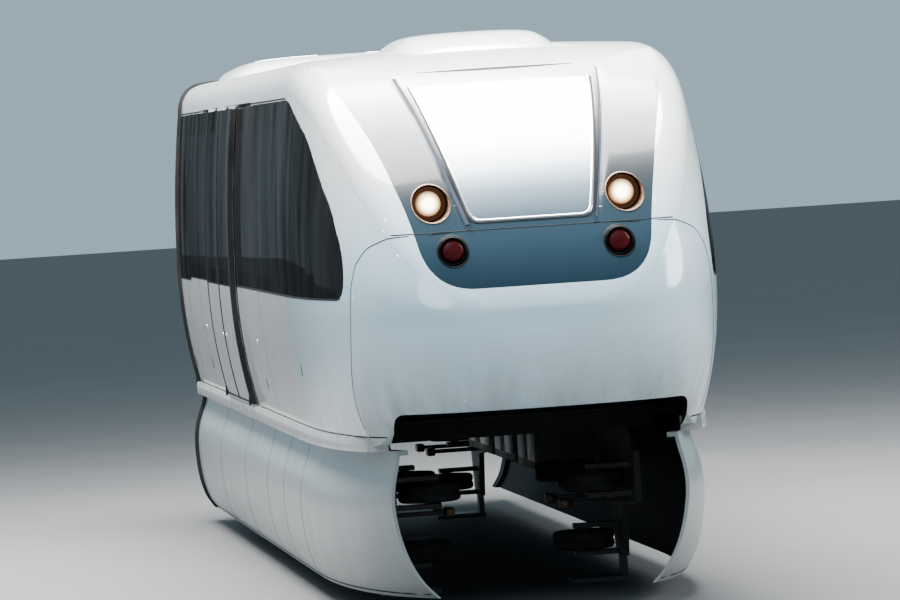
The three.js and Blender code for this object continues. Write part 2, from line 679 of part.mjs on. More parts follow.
function loadTyre(x) {
  const { radius, half, bead, shoulder } = TYRE;
  const profile = [[bead, -half + 30], [radius - 90, -half], [radius - shoulder, -half + 8],
    [radius, -half + shoulder], [radius, half - shoulder], [radius - shoulder, half - 8],
    [radius - 90, half], [bead, half - 30]];
  return turned(profile, 'y', [x, 0, AXLE.z], 32);
}

function loadWheel(x) {
  const rim = TYRE.bead - TYRE.seat;
  const edge = TYRE.half - 25;
  const half = [[0, AXLE.half], [AXLE.radius, AXLE.half], [AXLE.radius, 120], [110, 110], [120, 60],
    [rim - 30, 60], [rim - 20, edge], [rim, edge]];
  const profile = [...half.map(([r, y]) => [r, -y]), ...[...half].reverse()];
  return turned(profile, 'y', [x, 0, AXLE.z], 24);
}

function sideWheel(wheel, x, side) {
  const { radius, half, bore } = wheel;
  const upper = [[radius, half - 18], [radius - 14, half], [radius - 60, half - 12], [70, half + 8],
    [bore, half + 8]];
  const profile = [...[...upper].reverse().map(([r, z]) => [r, -z]), ...upper];
  return turned(profile, 'z', [x, side * wheel.y, wheel.z], 20);
}

// Assembly

const car = new THREE.Group();

function place(name, body, colour) {
  const mesh = body.getMesh();
  const geometry = new THREE.BufferGeometry();
  const stride = mesh.numProp;
  const count = mesh.vertProperties.length / stride;
  const positions = new Float32Array(count * 3);
  for (let i = 0; i < count; i += 1) {
    for (let k = 0; k < 3; k += 1) {
      positions[i * 3 + k] = mesh.vertProperties[i * stride + k];
    }
  }
  geometry.setAttribute('position', new THREE.BufferAttribute(positions, 3));
  geometry.setIndex(new THREE.BufferAttribute(new Uint32Array(mesh.triVerts), 1));
  geometry.computeVertexNormals();
  const [tint, roughness, metalness] = COLOURS[colour];
  const paint = new THREE.MeshStandardMaterial({ color: tint, roughness, metalness });
  const node = new THREE.Mesh(geometry, paint);
  node.name = name;
  car.add(node);
}

const SIDES = [{ tag: 'left', side: 1 }, { tag: 'right', side: -1 }];
const ENDS = [{ tag: 'rear', end: -1 }, { tag: 'front', end: 1 }];

place('underframe', underframe(), 'ledge');
place('roof_shell', roofShell(), 'white');
HUMPS.forEach((row) => place(row.name, roofFairing(row), 'white'));
place('nose_shell', noseShell(), 'white');
place('nose_lower_panel', noseLowerPanel(), 'white');
place('mask_panel', maskPanel(), 'silver');
place('windshield', windshield(), 'glass');
place('rear_bulkhead', rearBulkhead(), 'dark');
place('rear_window', rearWindow(), 'glass');
place('end_band', endBand(), 'rubber');
for (const { tag, side } of SIDES) {
  place(`headlamp_${tag}`, lampUnit(HEAD_LAMP, side), 'lamp');
  place(`tail_lamp_${tag}`, lampUnit(TAIL_LAMP, side), 'red');
  for (const { tag: part, end } of ENDS) {
    place(`skirt_${tag}_${part}`, skirt(side, part), 'white');
    place(`side_wall_${tag}_${part}`, sideWall(side, part), 'white');
    place(`glass_band_${tag}_${part}`, glassBand(side, part), 'glass');
    place(`door_leaf_${tag}_${part}`, doorLeaf(side, end), 'white');
    place(`door_glass_${tag}_${part}`, leafGlass(side, end), 'glass');
  }
}
for (const { tag: part, end } of ENDS) {
  const x = end * BOGIE_X;
  place(`seat_block_${part}`, seatBlock(x), 'seat');
  place(`bogie_frame_${part}`, bogieFrame(x), 'steel');
  place(`load_tyre_${part}`, loadTyre(x), 'rubber');
  place(`load_wheel_${part}`, loadWheel(x), 'steel');
  for (const { tag, side } of SIDES) {
    place(`guide_wheel_${part}_${tag}_a`, sideWheel(GUIDE, x - GUIDE.x, side), 'rubber');
    place(`guide_wheel_${part}_${tag}_b`, sideWheel(GUIDE, x + GUIDE.x, side), 'rubber');
    place(`stabiliser_wheel_${part}_${tag}`, sideWheel(STABILISER, x, side), 'rubber');
  }
}

export default car;
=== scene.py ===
"""Dresses the monorail end car: paint, glass, bellows, tyres, lamps, cabin and small fittings.

Metres, in the part's own frame: X towards the nose, Y to the car's left, Z up.
"""

import json
import logging
import math
from abc import ABC, abstractmethod
from collections.abc import Callable, Iterable, Sequence
from dataclasses import dataclass
from enum import Enum
from typing import ClassVar

import bmesh
import bpy
import numpy as np
from mathutils import Matrix, Vector
from mathutils.bvhtree import BVHTree

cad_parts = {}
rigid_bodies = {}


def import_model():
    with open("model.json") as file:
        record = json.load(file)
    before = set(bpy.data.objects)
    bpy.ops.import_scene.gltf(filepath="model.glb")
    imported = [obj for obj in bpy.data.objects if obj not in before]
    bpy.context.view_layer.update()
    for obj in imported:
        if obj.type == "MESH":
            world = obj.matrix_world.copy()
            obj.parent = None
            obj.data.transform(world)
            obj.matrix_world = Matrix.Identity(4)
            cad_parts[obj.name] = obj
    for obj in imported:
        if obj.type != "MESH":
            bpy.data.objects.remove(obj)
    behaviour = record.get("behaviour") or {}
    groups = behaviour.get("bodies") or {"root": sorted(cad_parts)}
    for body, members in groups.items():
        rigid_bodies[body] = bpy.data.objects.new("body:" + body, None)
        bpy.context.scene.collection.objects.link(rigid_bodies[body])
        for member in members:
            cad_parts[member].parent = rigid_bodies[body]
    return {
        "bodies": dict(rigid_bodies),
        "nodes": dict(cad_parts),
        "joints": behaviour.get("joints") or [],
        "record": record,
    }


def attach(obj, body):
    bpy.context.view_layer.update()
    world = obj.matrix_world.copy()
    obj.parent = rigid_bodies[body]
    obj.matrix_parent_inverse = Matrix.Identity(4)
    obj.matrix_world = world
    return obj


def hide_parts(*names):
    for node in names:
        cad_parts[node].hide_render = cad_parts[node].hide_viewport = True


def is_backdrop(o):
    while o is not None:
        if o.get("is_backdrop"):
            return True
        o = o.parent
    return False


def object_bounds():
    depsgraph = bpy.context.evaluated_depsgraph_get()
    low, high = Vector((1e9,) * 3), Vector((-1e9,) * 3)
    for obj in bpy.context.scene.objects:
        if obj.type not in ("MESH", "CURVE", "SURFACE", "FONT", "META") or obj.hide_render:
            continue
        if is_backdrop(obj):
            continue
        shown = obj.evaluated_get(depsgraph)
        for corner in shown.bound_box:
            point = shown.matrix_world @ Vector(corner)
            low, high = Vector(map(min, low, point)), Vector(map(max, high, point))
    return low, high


LOG = logging.getLogger("end_car")
BODY = "car_body"
SIDES = {"left": 1, "right": -1}
ENDS = {"rear": -1, "front": 1}
Colour = tuple[float, float, float]
Point = tuple[float, float, float]
Pair = tuple[float, float]
Path = list[tuple[Vector, Vector]]


class Slot(Enum):
    """Material slots of the part's record."""

    WHITE = "white_paint"
    SILVER = "silver_paint"
    BAND = "band_glass"
    SCREEN = "windshield_glass"
    RUBBER = "black_rubber"
    TYRE = "tyre_rubber"
    STEEL = "bogie_steel"
    FRAME = "floor_frame"
    DARK = "dark_panel"
    SEAT = "seat_shell"
    HEADLAMP = "headlamp_glass"
    TAIL_LAMP = "tail_lamp_lens"


class Sock:
    """A shader value: Python's operators on it add Math nodes."""

    def __init__(self, net: "Net", link: bpy.types.NodeSocket) -> None:
        """Keeps the tree and the socket that gives the value."""
        self.net = net
        self.link = link

    def __add__(self, other: "Sock | float") -> "Sock":
        """Sum."""
        return self.net.math("ADD", self, other)

    __radd__ = __add__

    def __sub__(self, other: "Sock | float") -> "Sock":
        """Difference."""
        return self.net.math("SUBTRACT", self, other)

    def __rsub__(self, other: float) -> "Sock":
        """Difference, the number first."""
        return self.net.math("SUBTRACT", other, self)

    def __mul__(self, other: "Sock | float") -> "Sock":
        """Product."""
        return self.net.math("MULTIPLY", self, other)

    __rmul__ = __mul__

    def __truediv__(self, other: "Sock | float") -> "Sock":
        """Quotient."""
        return self.net.math("DIVIDE", self, other)

    def __pow__(self, other: float) -> "Sock":
        """Power."""
        return self.net.math("POWER", self, other)

    def above(self, limit: "Sock | float", soft: float = 0.002) -> "Sock":
        """1 where the value passes the limit, with a short ramp."""
        return ((self - limit) / soft + 0.5).clamp()

    def clamp(self) -> "Sock":
        """The value kept between 0 and 1."""
        made = self.net.node("ShaderNodeClamp", {}, {"Value": self})
        return Sock(self.net, made.outputs[0])

    def size(self) -> "Sock":
        """The value without its sign."""
        return self.net.math("ABSOLUTE", self)


class Net:
    """A material's node tree."""

    def __init__(self, name: str) -> None:
        """Starts an empty tree.

        Args:
            name: the material's name.
        """
        self.material = bpy.data.materials.new(name)
        self.material.use_nodes = True
        self.tree = self.material.node_tree
        self.tree.nodes.clear()
        self.place = self.node("ShaderNodeTexCoord").outputs["Object"]

    def node(self, kind: str, settings: dict | None = None, inputs: dict | None = None) -> bpy.types.Node:
        """Adds a node.

        Args:
            kind: the node's type.
            settings: its settings, set first; "stops" holds a ramp's places and colours.
            inputs: values or links by the socket's name or number.

        Returns:
            The node.
        """
        made = self.tree.nodes.new(kind)
        for key, value in (settings or {}).items():
            if key == "stops":
                self._stops(made.color_ramp, value)
            else:
                setattr(made, key, value)
        for key, value in (inputs or {}).items():
            self.feed(made.inputs[key], value)
        return made

    @staticmethod
    def _stops(ramp: bpy.types.ColorRamp, stops: Sequence[tuple[float, Colour]]) -> None:
        """Sets a ramp's stops.

        Args:
            ramp: the ramp.
            stops: each stop's place and colour.
        """
        while len(ramp.elements) < len(stops):
            ramp.elements.new(1.0)
        for element, (place, colour) in zip(ramp.elements, stops):
            element.position = place
            element.color = (*colour, 1.0)

    def feed(self, socket: bpy.types.NodeSocket, value: object) -> None:
        """Links or sets one socket.

        Args:
            socket: the socket.
            value: a number, colour or link.
        """
        if isinstance(value, Sock):
            value = value.link
        if isinstance(value, bpy.types.NodeSocket):
            self.tree.links.new(value, socket)
        elif socket.type == "RGBA":
            socket.default_value = (*value, 1.0)
        else:
            socket.default_value = value

    def math(self, operation: str, *values: "Sock | float") -> Sock:
        """One Math node."""
        made = self.node("ShaderNodeMath", {"operation": operation}, dict(enumerate(values)))
        return Sock(self, made.outputs[0])

    def axes(self) -> tuple[Sock, Sock, Sock]:
        """The place on the piece as x, y and z."""
        split = self.node("ShaderNodeSeparateXYZ", {}, {"Vector": self.place})
        return tuple(Sock(self, out) for out in split.outputs)

    def noise(self, scale: float, detail: float = 3.0, stretch: Point = (1, 1, 1), rough: float = 0.5) -> Sock:
        """Noise between 0 and 1.

        Args:
            scale: how fine it is.
            detail: its octaves.
            stretch: factor on each axis.
            rough: weight of the finer octaves.

        Returns:
            The value.
        """
        place = self.node("ShaderNodeMapping", {}, {"Vector": self.place, "Scale": stretch}).outputs[0]
        inputs = {"Vector": place, "Scale": scale, "Detail": detail, "Roughness": rough}
        return Sock(self, self.node("ShaderNodeTexNoise", {}, inputs).outputs[0])

    def cells(self, scale: float) -> Sock:
        """Distance to the nearest cell centre."""
        made = self.node("ShaderNodeTexVoronoi", {}, {"Vector": self.place, "Scale": scale})
        return Sock(self, made.outputs["Distance"])

    def mix(self, factor: Sock, first: "Colour | Sock", second: "Colour | Sock") -> Sock:
        """A blend of two colours."""
        made = self.node("ShaderNodeMix", {"data_type": "RGBA"}, {0: factor, 6: first, 7: second})
        return Sock(self, made.outputs[2])

    def ramp(self, value: Sock, stops: Sequence[tuple[float, Colour]]) -> Sock:
        """A colour from a value by stops."""
        return Sock(self, self.node("ShaderNodeValToRGB", {"stops": stops}, {0: value}).outputs[0])

    def bump(self, height: Sock, depth: float, strength: float = 1.0) -> bpy.types.NodeSocket:
        """A normal bent by a height."""
        inputs = {"Height": height, "Distance": depth, "Strength": strength}
        return self.node("ShaderNodeBump", {}, inputs).outputs["Normal"]

    def shade(self, **inputs: object) -> bpy.types.Material:
        """Ends the tree in a Principled shader.

        Args:
            inputs: values or links, with underscores for the spaces in a socket's name.

        Returns:
            The material.
        """
        named = {key.replace("_", " "): value for key, value in inputs.items()}
        shader = self.node("ShaderNodeBsdfPrincipled", {}, named)
        self.node("ShaderNodeOutputMaterial", {}, {"Surface": shader.outputs[0]})
        return self.material


@dataclass(frozen=True)
class Finish(ABC):
    """A surface finish, made once and shared."""

    name: str

    def material(self) -> bpy.types.Material:
        """The finish's material, built on first use."""
        return bpy.data.materials.get(self.name) or self.build(Net(self.name))

    @abstractmethod
    def build(self, net: Net) -> bpy.types.Material:
        """Builds the node tree.

        Args:
            net: the material's empty tree.

        Returns:
            The material.
        """


@dataclass(frozen=True)
class BodyPaint(Finish):
    """Glossy paint with grime that runs down, and painted shade that darkens it low and tints it sky blue."""

    tint: Colour = (0.88, 0.88, 0.88)
    dirt_and_shade: Colour = (0.3, 0.295, 0.27)
    clean_and_lit_above: float = 1.0
    reach: float = 1.3
    amount: float = 0.8
    painted_shade_tint: Colour | None = None
    painted_shade_below: float = 1.75
    coat: float = 0.75

    def build(self, net: Net) -> bpy.types.Material:
        """Paint, a clear coat, faint waviness, grime and painted shade.

        Args:
            net: the material's empty tree.

        Returns:
            The material.
        """
        z = net.axes()[2]
        # Grime streaks mixed with painted shade: the paint darkens towards the bottom, where the body turns from the
        # light.
        low = ((self.clean_and_lit_above - z) / self.reach).clamp()
        streak = net.noise(7.0, 4.0, (1.0, 1.0, 0.12), 0.6)
        patch = net.noise(2.2, 3.0)
        grime_and_shade = (low * (streak * 1.1 + patch * 0.4) * self.amount).clamp()
        haze = (net.noise(0.8, 2.0) - 0.5) * 0.05
        clean = net.mix((haze + 0.5).clamp(), self.tint, tuple(c * 0.97 for c in self.tint))
        # Painted shade: low down the white paint turns the sky's blue, as it lies in shade.
        if self.painted_shade_tint:
            clean = net.mix(((self.painted_shade_below - z) / 0.5).clamp(), clean, self.painted_shade_tint)
        colour = net.mix(grime_and_shade, clean, self.dirt_and_shade)
        gloss = grime_and_shade * 0.5 + net.noise(30.0, 2.0) * 0.05 + 0.16
        wave = net.noise(1.4, 1.0) * 0.7
        return net.shade(
            Base_Color=colour, Roughness=gloss, Coat_Weight=self.coat, Coat_Roughness=0.04,
            Normal=net.bump(wave, 0.004, 0.25),
        )


@dataclass(frozen=True)
class MaskPaint(Finish):
    """Metallic grey of the front mask, with a painted reflection that is dark below and paler towards the roof.

    Each crease row gives its side, its half width and how dark the painted shade in it is.
    """

    low_z: float = 1.0
    high_z: float = 2.3
    crease_shade_from: float = 1.33
    creases: tuple[Point, ...] = ((-1.0, 0.034, 0.95), (1.0, 0.018, 0.8))
    # Painted reflection: the stops run from the dark ground seen low on the mask to the bright sky towards the roof.
    stops: tuple[tuple[float, Colour], ...] = (
        (0.0, (0.012, 0.03, 0.046)), (0.24, (0.024, 0.05, 0.072)), (0.4, (0.026, 0.044, 0.058)),
        (0.5, (0.035, 0.045, 0.052)), (0.62, (0.06, 0.066, 0.072)), (0.75, (0.13, 0.135, 0.14)),
        (0.88, (0.36, 0.37, 0.38)), (1.0, (0.8, 0.81, 0.82)),
    )

    def build(self, net: Net) -> bpy.types.Material:
        """A ramp over the height as painted reflection, with painted shade in the creases.

        Args:
            net: the material's empty tree.

        Returns:
            The material.
        """
        _, y, z = net.axes()
        rise = ((z - self.low_z) / (self.high_z - self.low_z)).clamp()
        colour = net.ramp(rise, self.stops)
        (top_y, top_z), (low_y, low_z) = FOLD.top, FOLD.low
        middle = (z - low_z) * ((top_y - low_y) / (top_z - low_z)) + low_y
        ends = ((z - self.crease_shade_from) / 0.1).clamp() * ((top_z - z) / 0.25).clamp()
        crease_shade_sum = 0.0
        # Painted shade: each crease is darkened towards its middle, as the fold lies in shade.
        for side, half, dark in self.creases:
            soil = ((1.0 - (y * side - middle).size() / half) * 1.8).clamp() * ends * dark
            colour = net.mix(soil, colour, (0.01, 0.016, 0.024))
            crease_shade_sum = crease_shade_sum + soil
        rough = net.noise(12.0, 2.0) * 0.06 + 0.16
        return net.shade(
            Base_Color=colour, Roughness=rough, Specular_IOR_Level=0.15,
            Coat_Weight=(0.15 - crease_shade_sum).clamp(), Coat_Roughness=0.05,
            Normal=net.bump(net.noise(1.8, 1.0), 0.003, 0.2),
        )


@dataclass(frozen=True)
class BandGlass(Finish):
    """Dark glass band: opaque black borders around tinted window panes.

    The rows give each pane's rear and front edge at the top, and how far the bottom corner
    is drawn in at each end.
    """

    panes: tuple[tuple[float, float, float, float], ...] = ()
    low: float = 1.1
    top: float = 2.08
    clearness: float = 0.08

    def build(self, net: Net) -> bpy.types.Material:
        """Panes let some light through, borders none; streaks of painted reflection lighten both.

        Args:
            net: the material's empty tree.

        Returns:
            The material.
        """
        x, _, z = net.axes()
        drop = ((self.top - z) / (self.top - self.low)).clamp()
        inside = None
        for rear, front, rear_slant, front_slant in self.panes:
            left = drop * rear_slant + rear
            right = drop * -front_slant + front
            one = x.above(left) * (1.0 - x.above(right))
            inside = one if inside is None else inside + one
        tall = z.above(self.low) * (1.0 - z.above(self.top))
        pane = (inside * tall).clamp()
        streak = (net.noise(2.6, 4.0, (1.0, 1.0, 0.1), 0.65) * 2.2 - 0.75).clamp()
        cloud = (net.noise(0.9, 3.0) * 1.8 - 0.5).clamp()
        reflection_streaks = streak * 0.55 + cloud * 0.2
        # Painted reflection: the streaks and clouds lighten the glass's colour.
        colour = net.mix(reflection_streaks * 0.3, (0.005, 0.0055, 0.006), (0.075, 0.072, 0.066))
        return net.shade(
            Base_Color=net.mix(pane * 0.5, colour, (0.016, 0.019, 0.021)), Roughness=0.1 - pane * 0.05,
            Alpha=1.0 - pane * self.clearness, IOR=1.5, Specular_IOR_Level=0.0,
            Coat_Weight=reflection_streaks * 0.42, Coat_Roughness=0.025,
            Normal=net.bump(net.noise(0.9, 1.0), 0.006, 0.35),
        )


@dataclass(frozen=True)
class ScreenGlass(Finish):
    """Windshield with a painted sky reflection in its upper part, which lets the console show low down."""

    low_z: float = 1.43
    height: float = 0.8
    stops: tuple[tuple[float, Colour], ...] = (
        (0.0, (0.085, 0.14, 0.19)), (0.2, (0.17, 0.26, 0.33)), (0.38, (0.45, 0.55, 0.62)),
        (0.58, (0.84, 0.87, 0.89)), (0.85, (0.96, 0.97, 0.98)),
    )

    def build(self, net: Net) -> bpy.types.Material:
        """A painted sky reflection that thins out towards the bottom edge into a dark tint.

        Args:
            net: the material's empty tree.

        Returns:
            The material.
        """
        z = net.axes()[2]
        rise = ((z - self.low_z) / self.height).clamp()
        # Painted reflection: the colour runs from a dark tint low down to the sky's near white at the top.
        colour = net.ramp(rise, self.stops)
        dust = net.noise(6.0, 5.0) * 0.05 + 0.3
        return net.shade(Base_Color=colour, Metallic=0.2, Roughness=dust, Alpha=(rise * 0.5 + 0.72).clamp(),
                         Coat_Weight=0.6, Coat_Roughness=0.12)


@dataclass(frozen=True)
class SoftBlack(Finish):
    """Rubber or dull plastic, dusted on top."""

    tint: Colour = (0.012, 0.012, 0.013)
    dust: Colour = (0.1, 0.095, 0.088)
    grain: float = 180.0

    def build(self, net: Net) -> bpy.types.Material:
        """Fine grain with patchy dust.

        Args:
            net: the material's empty tree.

        Returns:
            The material.
        """
        patch = (net.noise(4.0, 5.0) * 1.8 - 0.75).clamp()
        colour = net.mix(patch * 0.25, self.tint, self.dust)
        grain = net.noise(self.grain, 3.0)
        return net.shade(Base_Color=colour, Roughness=grain * 0.2 + 0.55, Specular_IOR_Level=0.12,
                         Normal=net.bump(grain, 0.0006, 0.5))


@dataclass(frozen=True)
class TyreRubber(Finish):
    """Running rubber, scuffed paler where it rolls."""

    def build(self, net: Net) -> bpy.types.Material:
        """Dark rubber with scuffs and fine mould lines.

        Args:
            net: the material's empty tree.

        Returns:
            The material.
        """
        scuff = (net.noise(14.0, 5.0) * 1.6 - 0.5).clamp()
        colour = net.mix(scuff * 0.6, (0.014, 0.014, 0.015), (0.075, 0.072, 0.068))
        grain = net.noise(120.0, 4.0)
        return net.shade(Base_Color=colour, Roughness=0.72 + grain * 0.15, Normal=net.bump(grain, 0.0012, 0.6))


@dataclass(frozen=True)
class CoatedSteel(Finish):
    """Painted running-gear steel with brake dust and chips."""

    tint: Colour = (0.055, 0.058, 0.062)
    rust: Colour = (0.16, 0.085, 0.045)

    def build(self, net: Net) -> bpy.types.Material:
        """Dust lies in patches, rust in small chips.

        Args:
            net: the material's empty tree.

        Returns:
            The material.
        """
        dust = (net.noise(3.0, 6.0) * 1.5 - 0.4).clamp()
        chips = (net.noise(38.0, 5.0) - 0.64).above(0.0, 0.04)
        colour = net.mix(chips * 0.8, net.mix(dust * 0.5, self.tint, (0.14, 0.125, 0.108)), self.rust)
        return net.shade(Base_Color=colour, Metallic=0.35, Roughness=dust * 0.3 + 0.45,
                         Normal=net.bump(net.noise(70.0, 3.0), 0.0008, 0.4))


@dataclass(frozen=True)
class BareMetal(Finish):
    """Aluminium or bright steel with drawn scratches."""

    tint: Colour = (0.6, 0.61, 0.61)
    rough: float = 0.28
    along: Point = (0.05, 1.0, 1.0)
    soil: float = 0.3

    def build(self, net: Net) -> bpy.types.Material:
        """Scratches run along one axis, soil in patches.

        Args:
            net: the material's empty tree.

        Returns:
            The material.
        """
        scratch = net.noise(160.0, 2.0, self.along)
        soil = (net.noise(3.5, 5.0) * 1.5 - 0.5).clamp() * self.soil
        colour = net.mix(soil, self.tint, (0.22, 0.205, 0.18))
        return net.shade(Base_Color=colour, Metallic=0.85, Roughness=scratch * 0.15 + soil * 0.5 + self.rough,
                         Normal=net.bump(scratch, 0.0003, 0.3))


@dataclass(frozen=True)
class MouldedPlastic(Finish):
    """Leather-grained moulding."""

    tint: Colour = (0.06, 0.09, 0.13)
    rough: float = 0.42

    def build(self, net: Net) -> bpy.types.Material:
        """Cells give the grain, and broad noise the wear.

        Args:
            net: the material's empty tree.

        Returns:
            The material.
        """
        wear = net.noise(2.5, 3.0)
        colour = net.mix(wear * 0.5, self.tint, tuple(min(1.0, c * 1.5 + 0.01) for c in self.tint))
        return net.shade(Base_Color=colour, Roughness=wear * 0.15 + self.rough,
                         Normal=net.bump(net.cells(420.0), 0.0005, 0.5))


@dataclass(frozen=True)
class SpeckledFloor(Finish):
    """Rubber floor covering with pale chips."""

    def build(self, net: Net) -> bpy.types.Material:
        """Chips from cells over a grey ground.

        Args:
            net: the material's empty tree.

        Returns:
            The material.
        """
        chips = 1.0 - net.cells(160.0).above(0.28, 0.05)
        colour = net.mix(chips * 0.5, (0.1, 0.105, 0.115), (0.32, 0.34, 0.36))
        return net.shade(Base_Color=colour, Roughness=0.55 + net.noise(5.0) * 0.2,
                         Normal=net.bump(net.noise(90.0), 0.0004, 0.4))


@dataclass(frozen=True)
class Glow(Finish):
    """A lit lamp face with prisms; with a spot (place across, height and radius) its rim is darker."""

    tint: Colour = (1.0, 0.83, 0.58)
    power: float = 2.6
    spot: Point | None = None
    rim: tuple[tuple[float, Colour], ...] = (
        (0.0, (1.0, 0.97, 0.88)), (0.4, (1.0, 0.92, 0.72)), (0.66, (0.4, 0.26, 0.12)),
        (0.85, (0.09, 0.045, 0.018)), (1.0, (0.02, 0.01, 0.005)),
    )

    def build(self, net: Net) -> bpy.types.Material:
        """Emission broken by the lens's prisms.

        Args:
            net: the material's empty tree.

        Returns:
            The material.
        """
        prism = net.cells(70.0)
        glow = net.mix(prism * 0.4, self.tint, (1.0, 0.94, 0.82))
        if self.spot:
            _, y, z = net.axes()
            across, up, radius = self.spot
            out = ((y.size() - across) ** 2.0 + (z - up) ** 2.0) ** 0.5 / radius
            glow = net.ramp(out, self.rim)
        return net.shade(Base_Color=self.tint, Roughness=0.12 + prism * 0.1, Coat_Weight=0.6,
                         Emission_Color=glow, Emission_Strength=self.power, Normal=net.bump(prism, 0.002, 0.4))


@dataclass(frozen=True)
class RedLens(Finish):
    """Unlit dark red lens with a fine prism grid."""

    def build(self, net: Net) -> bpy.types.Material:
        """Prism cells under a clear skin.

        Args:
            net: the material's empty tree.

        Returns:
            The material.
        """
        prism = net.cells(95.0)
        colour = net.mix(prism.clamp(), (0.13, 0.002, 0.004), (0.035, 0.001, 0.002))
        return net.shade(Base_Color=colour, Roughness=0.25 + prism * 0.15, Coat_Weight=0.05, Coat_Roughness=0.05,
                         Specular_IOR_Level=0.2, Normal=net.bump(prism, 0.003, 0.5))


PANES = ((-4.75, -3.5, 0.65, 0.0), (-3.33, -2.15, 0.0, 0.0), (0.27, 1.75, 0.0, 0.0), (1.95, 3.7, 0.0, 0.65))
LEAF_PANES = ((-1.79, -1.07, 0.0, 0.0), (-0.83, -0.11, 0.0, 0.0))

# Painted shade: the sky blue that the white paint takes low on the nose.
SKY_BLUE_SHADE = (0.68, 0.88, 0.98)
WHITE = BodyPaint("white_gloss_paint")
# Dirt and painted shade: the chin is darkened steeply towards its foot, where it faces down into shade, and tinted
# sky blue.
LOWER = BodyPaint("lower_nose_paint", dirt_and_shade=(0.2, 0.205, 0.19), clean_and_lit_above=0.75, reach=0.55, amount=0.9,
                  painted_shade_tint=SKY_BLUE_SHADE)
NOSE = BodyPaint("nose_paint", painted_shade_tint=SKY_BLUE_SHADE)
# Dirt and painted shade: the white skirts are painted a dark blue-grey, as they hang in shade and gather tyre dust.
SKIRT_PAINT_DIRT_AND_SHADE = BodyPaint("skirt_paint_dirt_and_shade", (0.28, 0.325, 0.34), amount=0.5, coat=0.3)
MASK = MaskPaint("mask_grey_metallic")
LAMP_RING = SoftBlack("lamp_ring_black", (0.004, 0.004, 0.005), (0.02, 0.02, 0.02), 60.0)
# Painted shade: dark blue for strips laid in the mask's creases, which lie in shade.
CREASE_SHADE_STRIP = SoftBlack("mask_crease_shade_blue", (0.018, 0.03, 0.055), (0.1, 0.12, 0.15), 60.0)
BAND = BandGlass("dark_glass_band", PANES)
LEAF_GLASS = BandGlass("door_glass", LEAF_PANES)
END_GLASS = BandGlass("end_door_glass", ((-6.0, -5.0, 0.0, 0.0),), 1.05, 2.05)
SCREEN = ScreenGlass("windshield_painted_sky_reflection")
RUBBER = SoftBlack("seal_rubber")
BLACK = SoftBlack("dull_black_plastic", (0.009, 0.009, 0.01), (0.045, 0.042, 0.04), 60.0)
TYRE = TyreRubber("running_tyre_rubber")
STEEL = CoatedSteel("running_gear_steel")
BRIGHT = BareMetal("bright_trim", (0.8, 0.81, 0.82), 0.12, (1.0, 1.0, 1.0), 0.05)
ALUMINIUM = BareMetal("sill_aluminium", (0.66, 0.67, 0.67), 0.3, (0.04, 1.0, 1.0), 0.45)
COPPER = BareMetal("lamp_ring_bronze", (0.12, 0.07, 0.045), 0.34, (1.0, 1.0, 1.0), 0.1)
SEAT = MouldedPlastic("seat_moulding")
LINING = MouldedPlastic("lining_grey", (0.33, 0.34, 0.35), 0.5)
SILL = BodyPaint("sill_paint", (0.74, 0.75, 0.755), (0.3, 0.275, 0.24), 1.2, amount=0.8)
CASE = CoatedSteel("case_paint", (0.16, 0.165, 0.17), (0.13, 0.08, 0.05))
CLOTH = MouldedPlastic("seat_cloth", (0.045, 0.1, 0.2), 0.85)
FLOOR = SpeckledFloor("floor_covering")
HEADLIGHT = Glow("headlamp_lit", power=12.0, spot=(0.594, 1.54, 0.078))
CEILING_LIGHT = Glow("ceiling_light_diffuser", (0.95, 0.97, 1.0), 1.5)
TAIL = RedLens("tail_lamp_red")


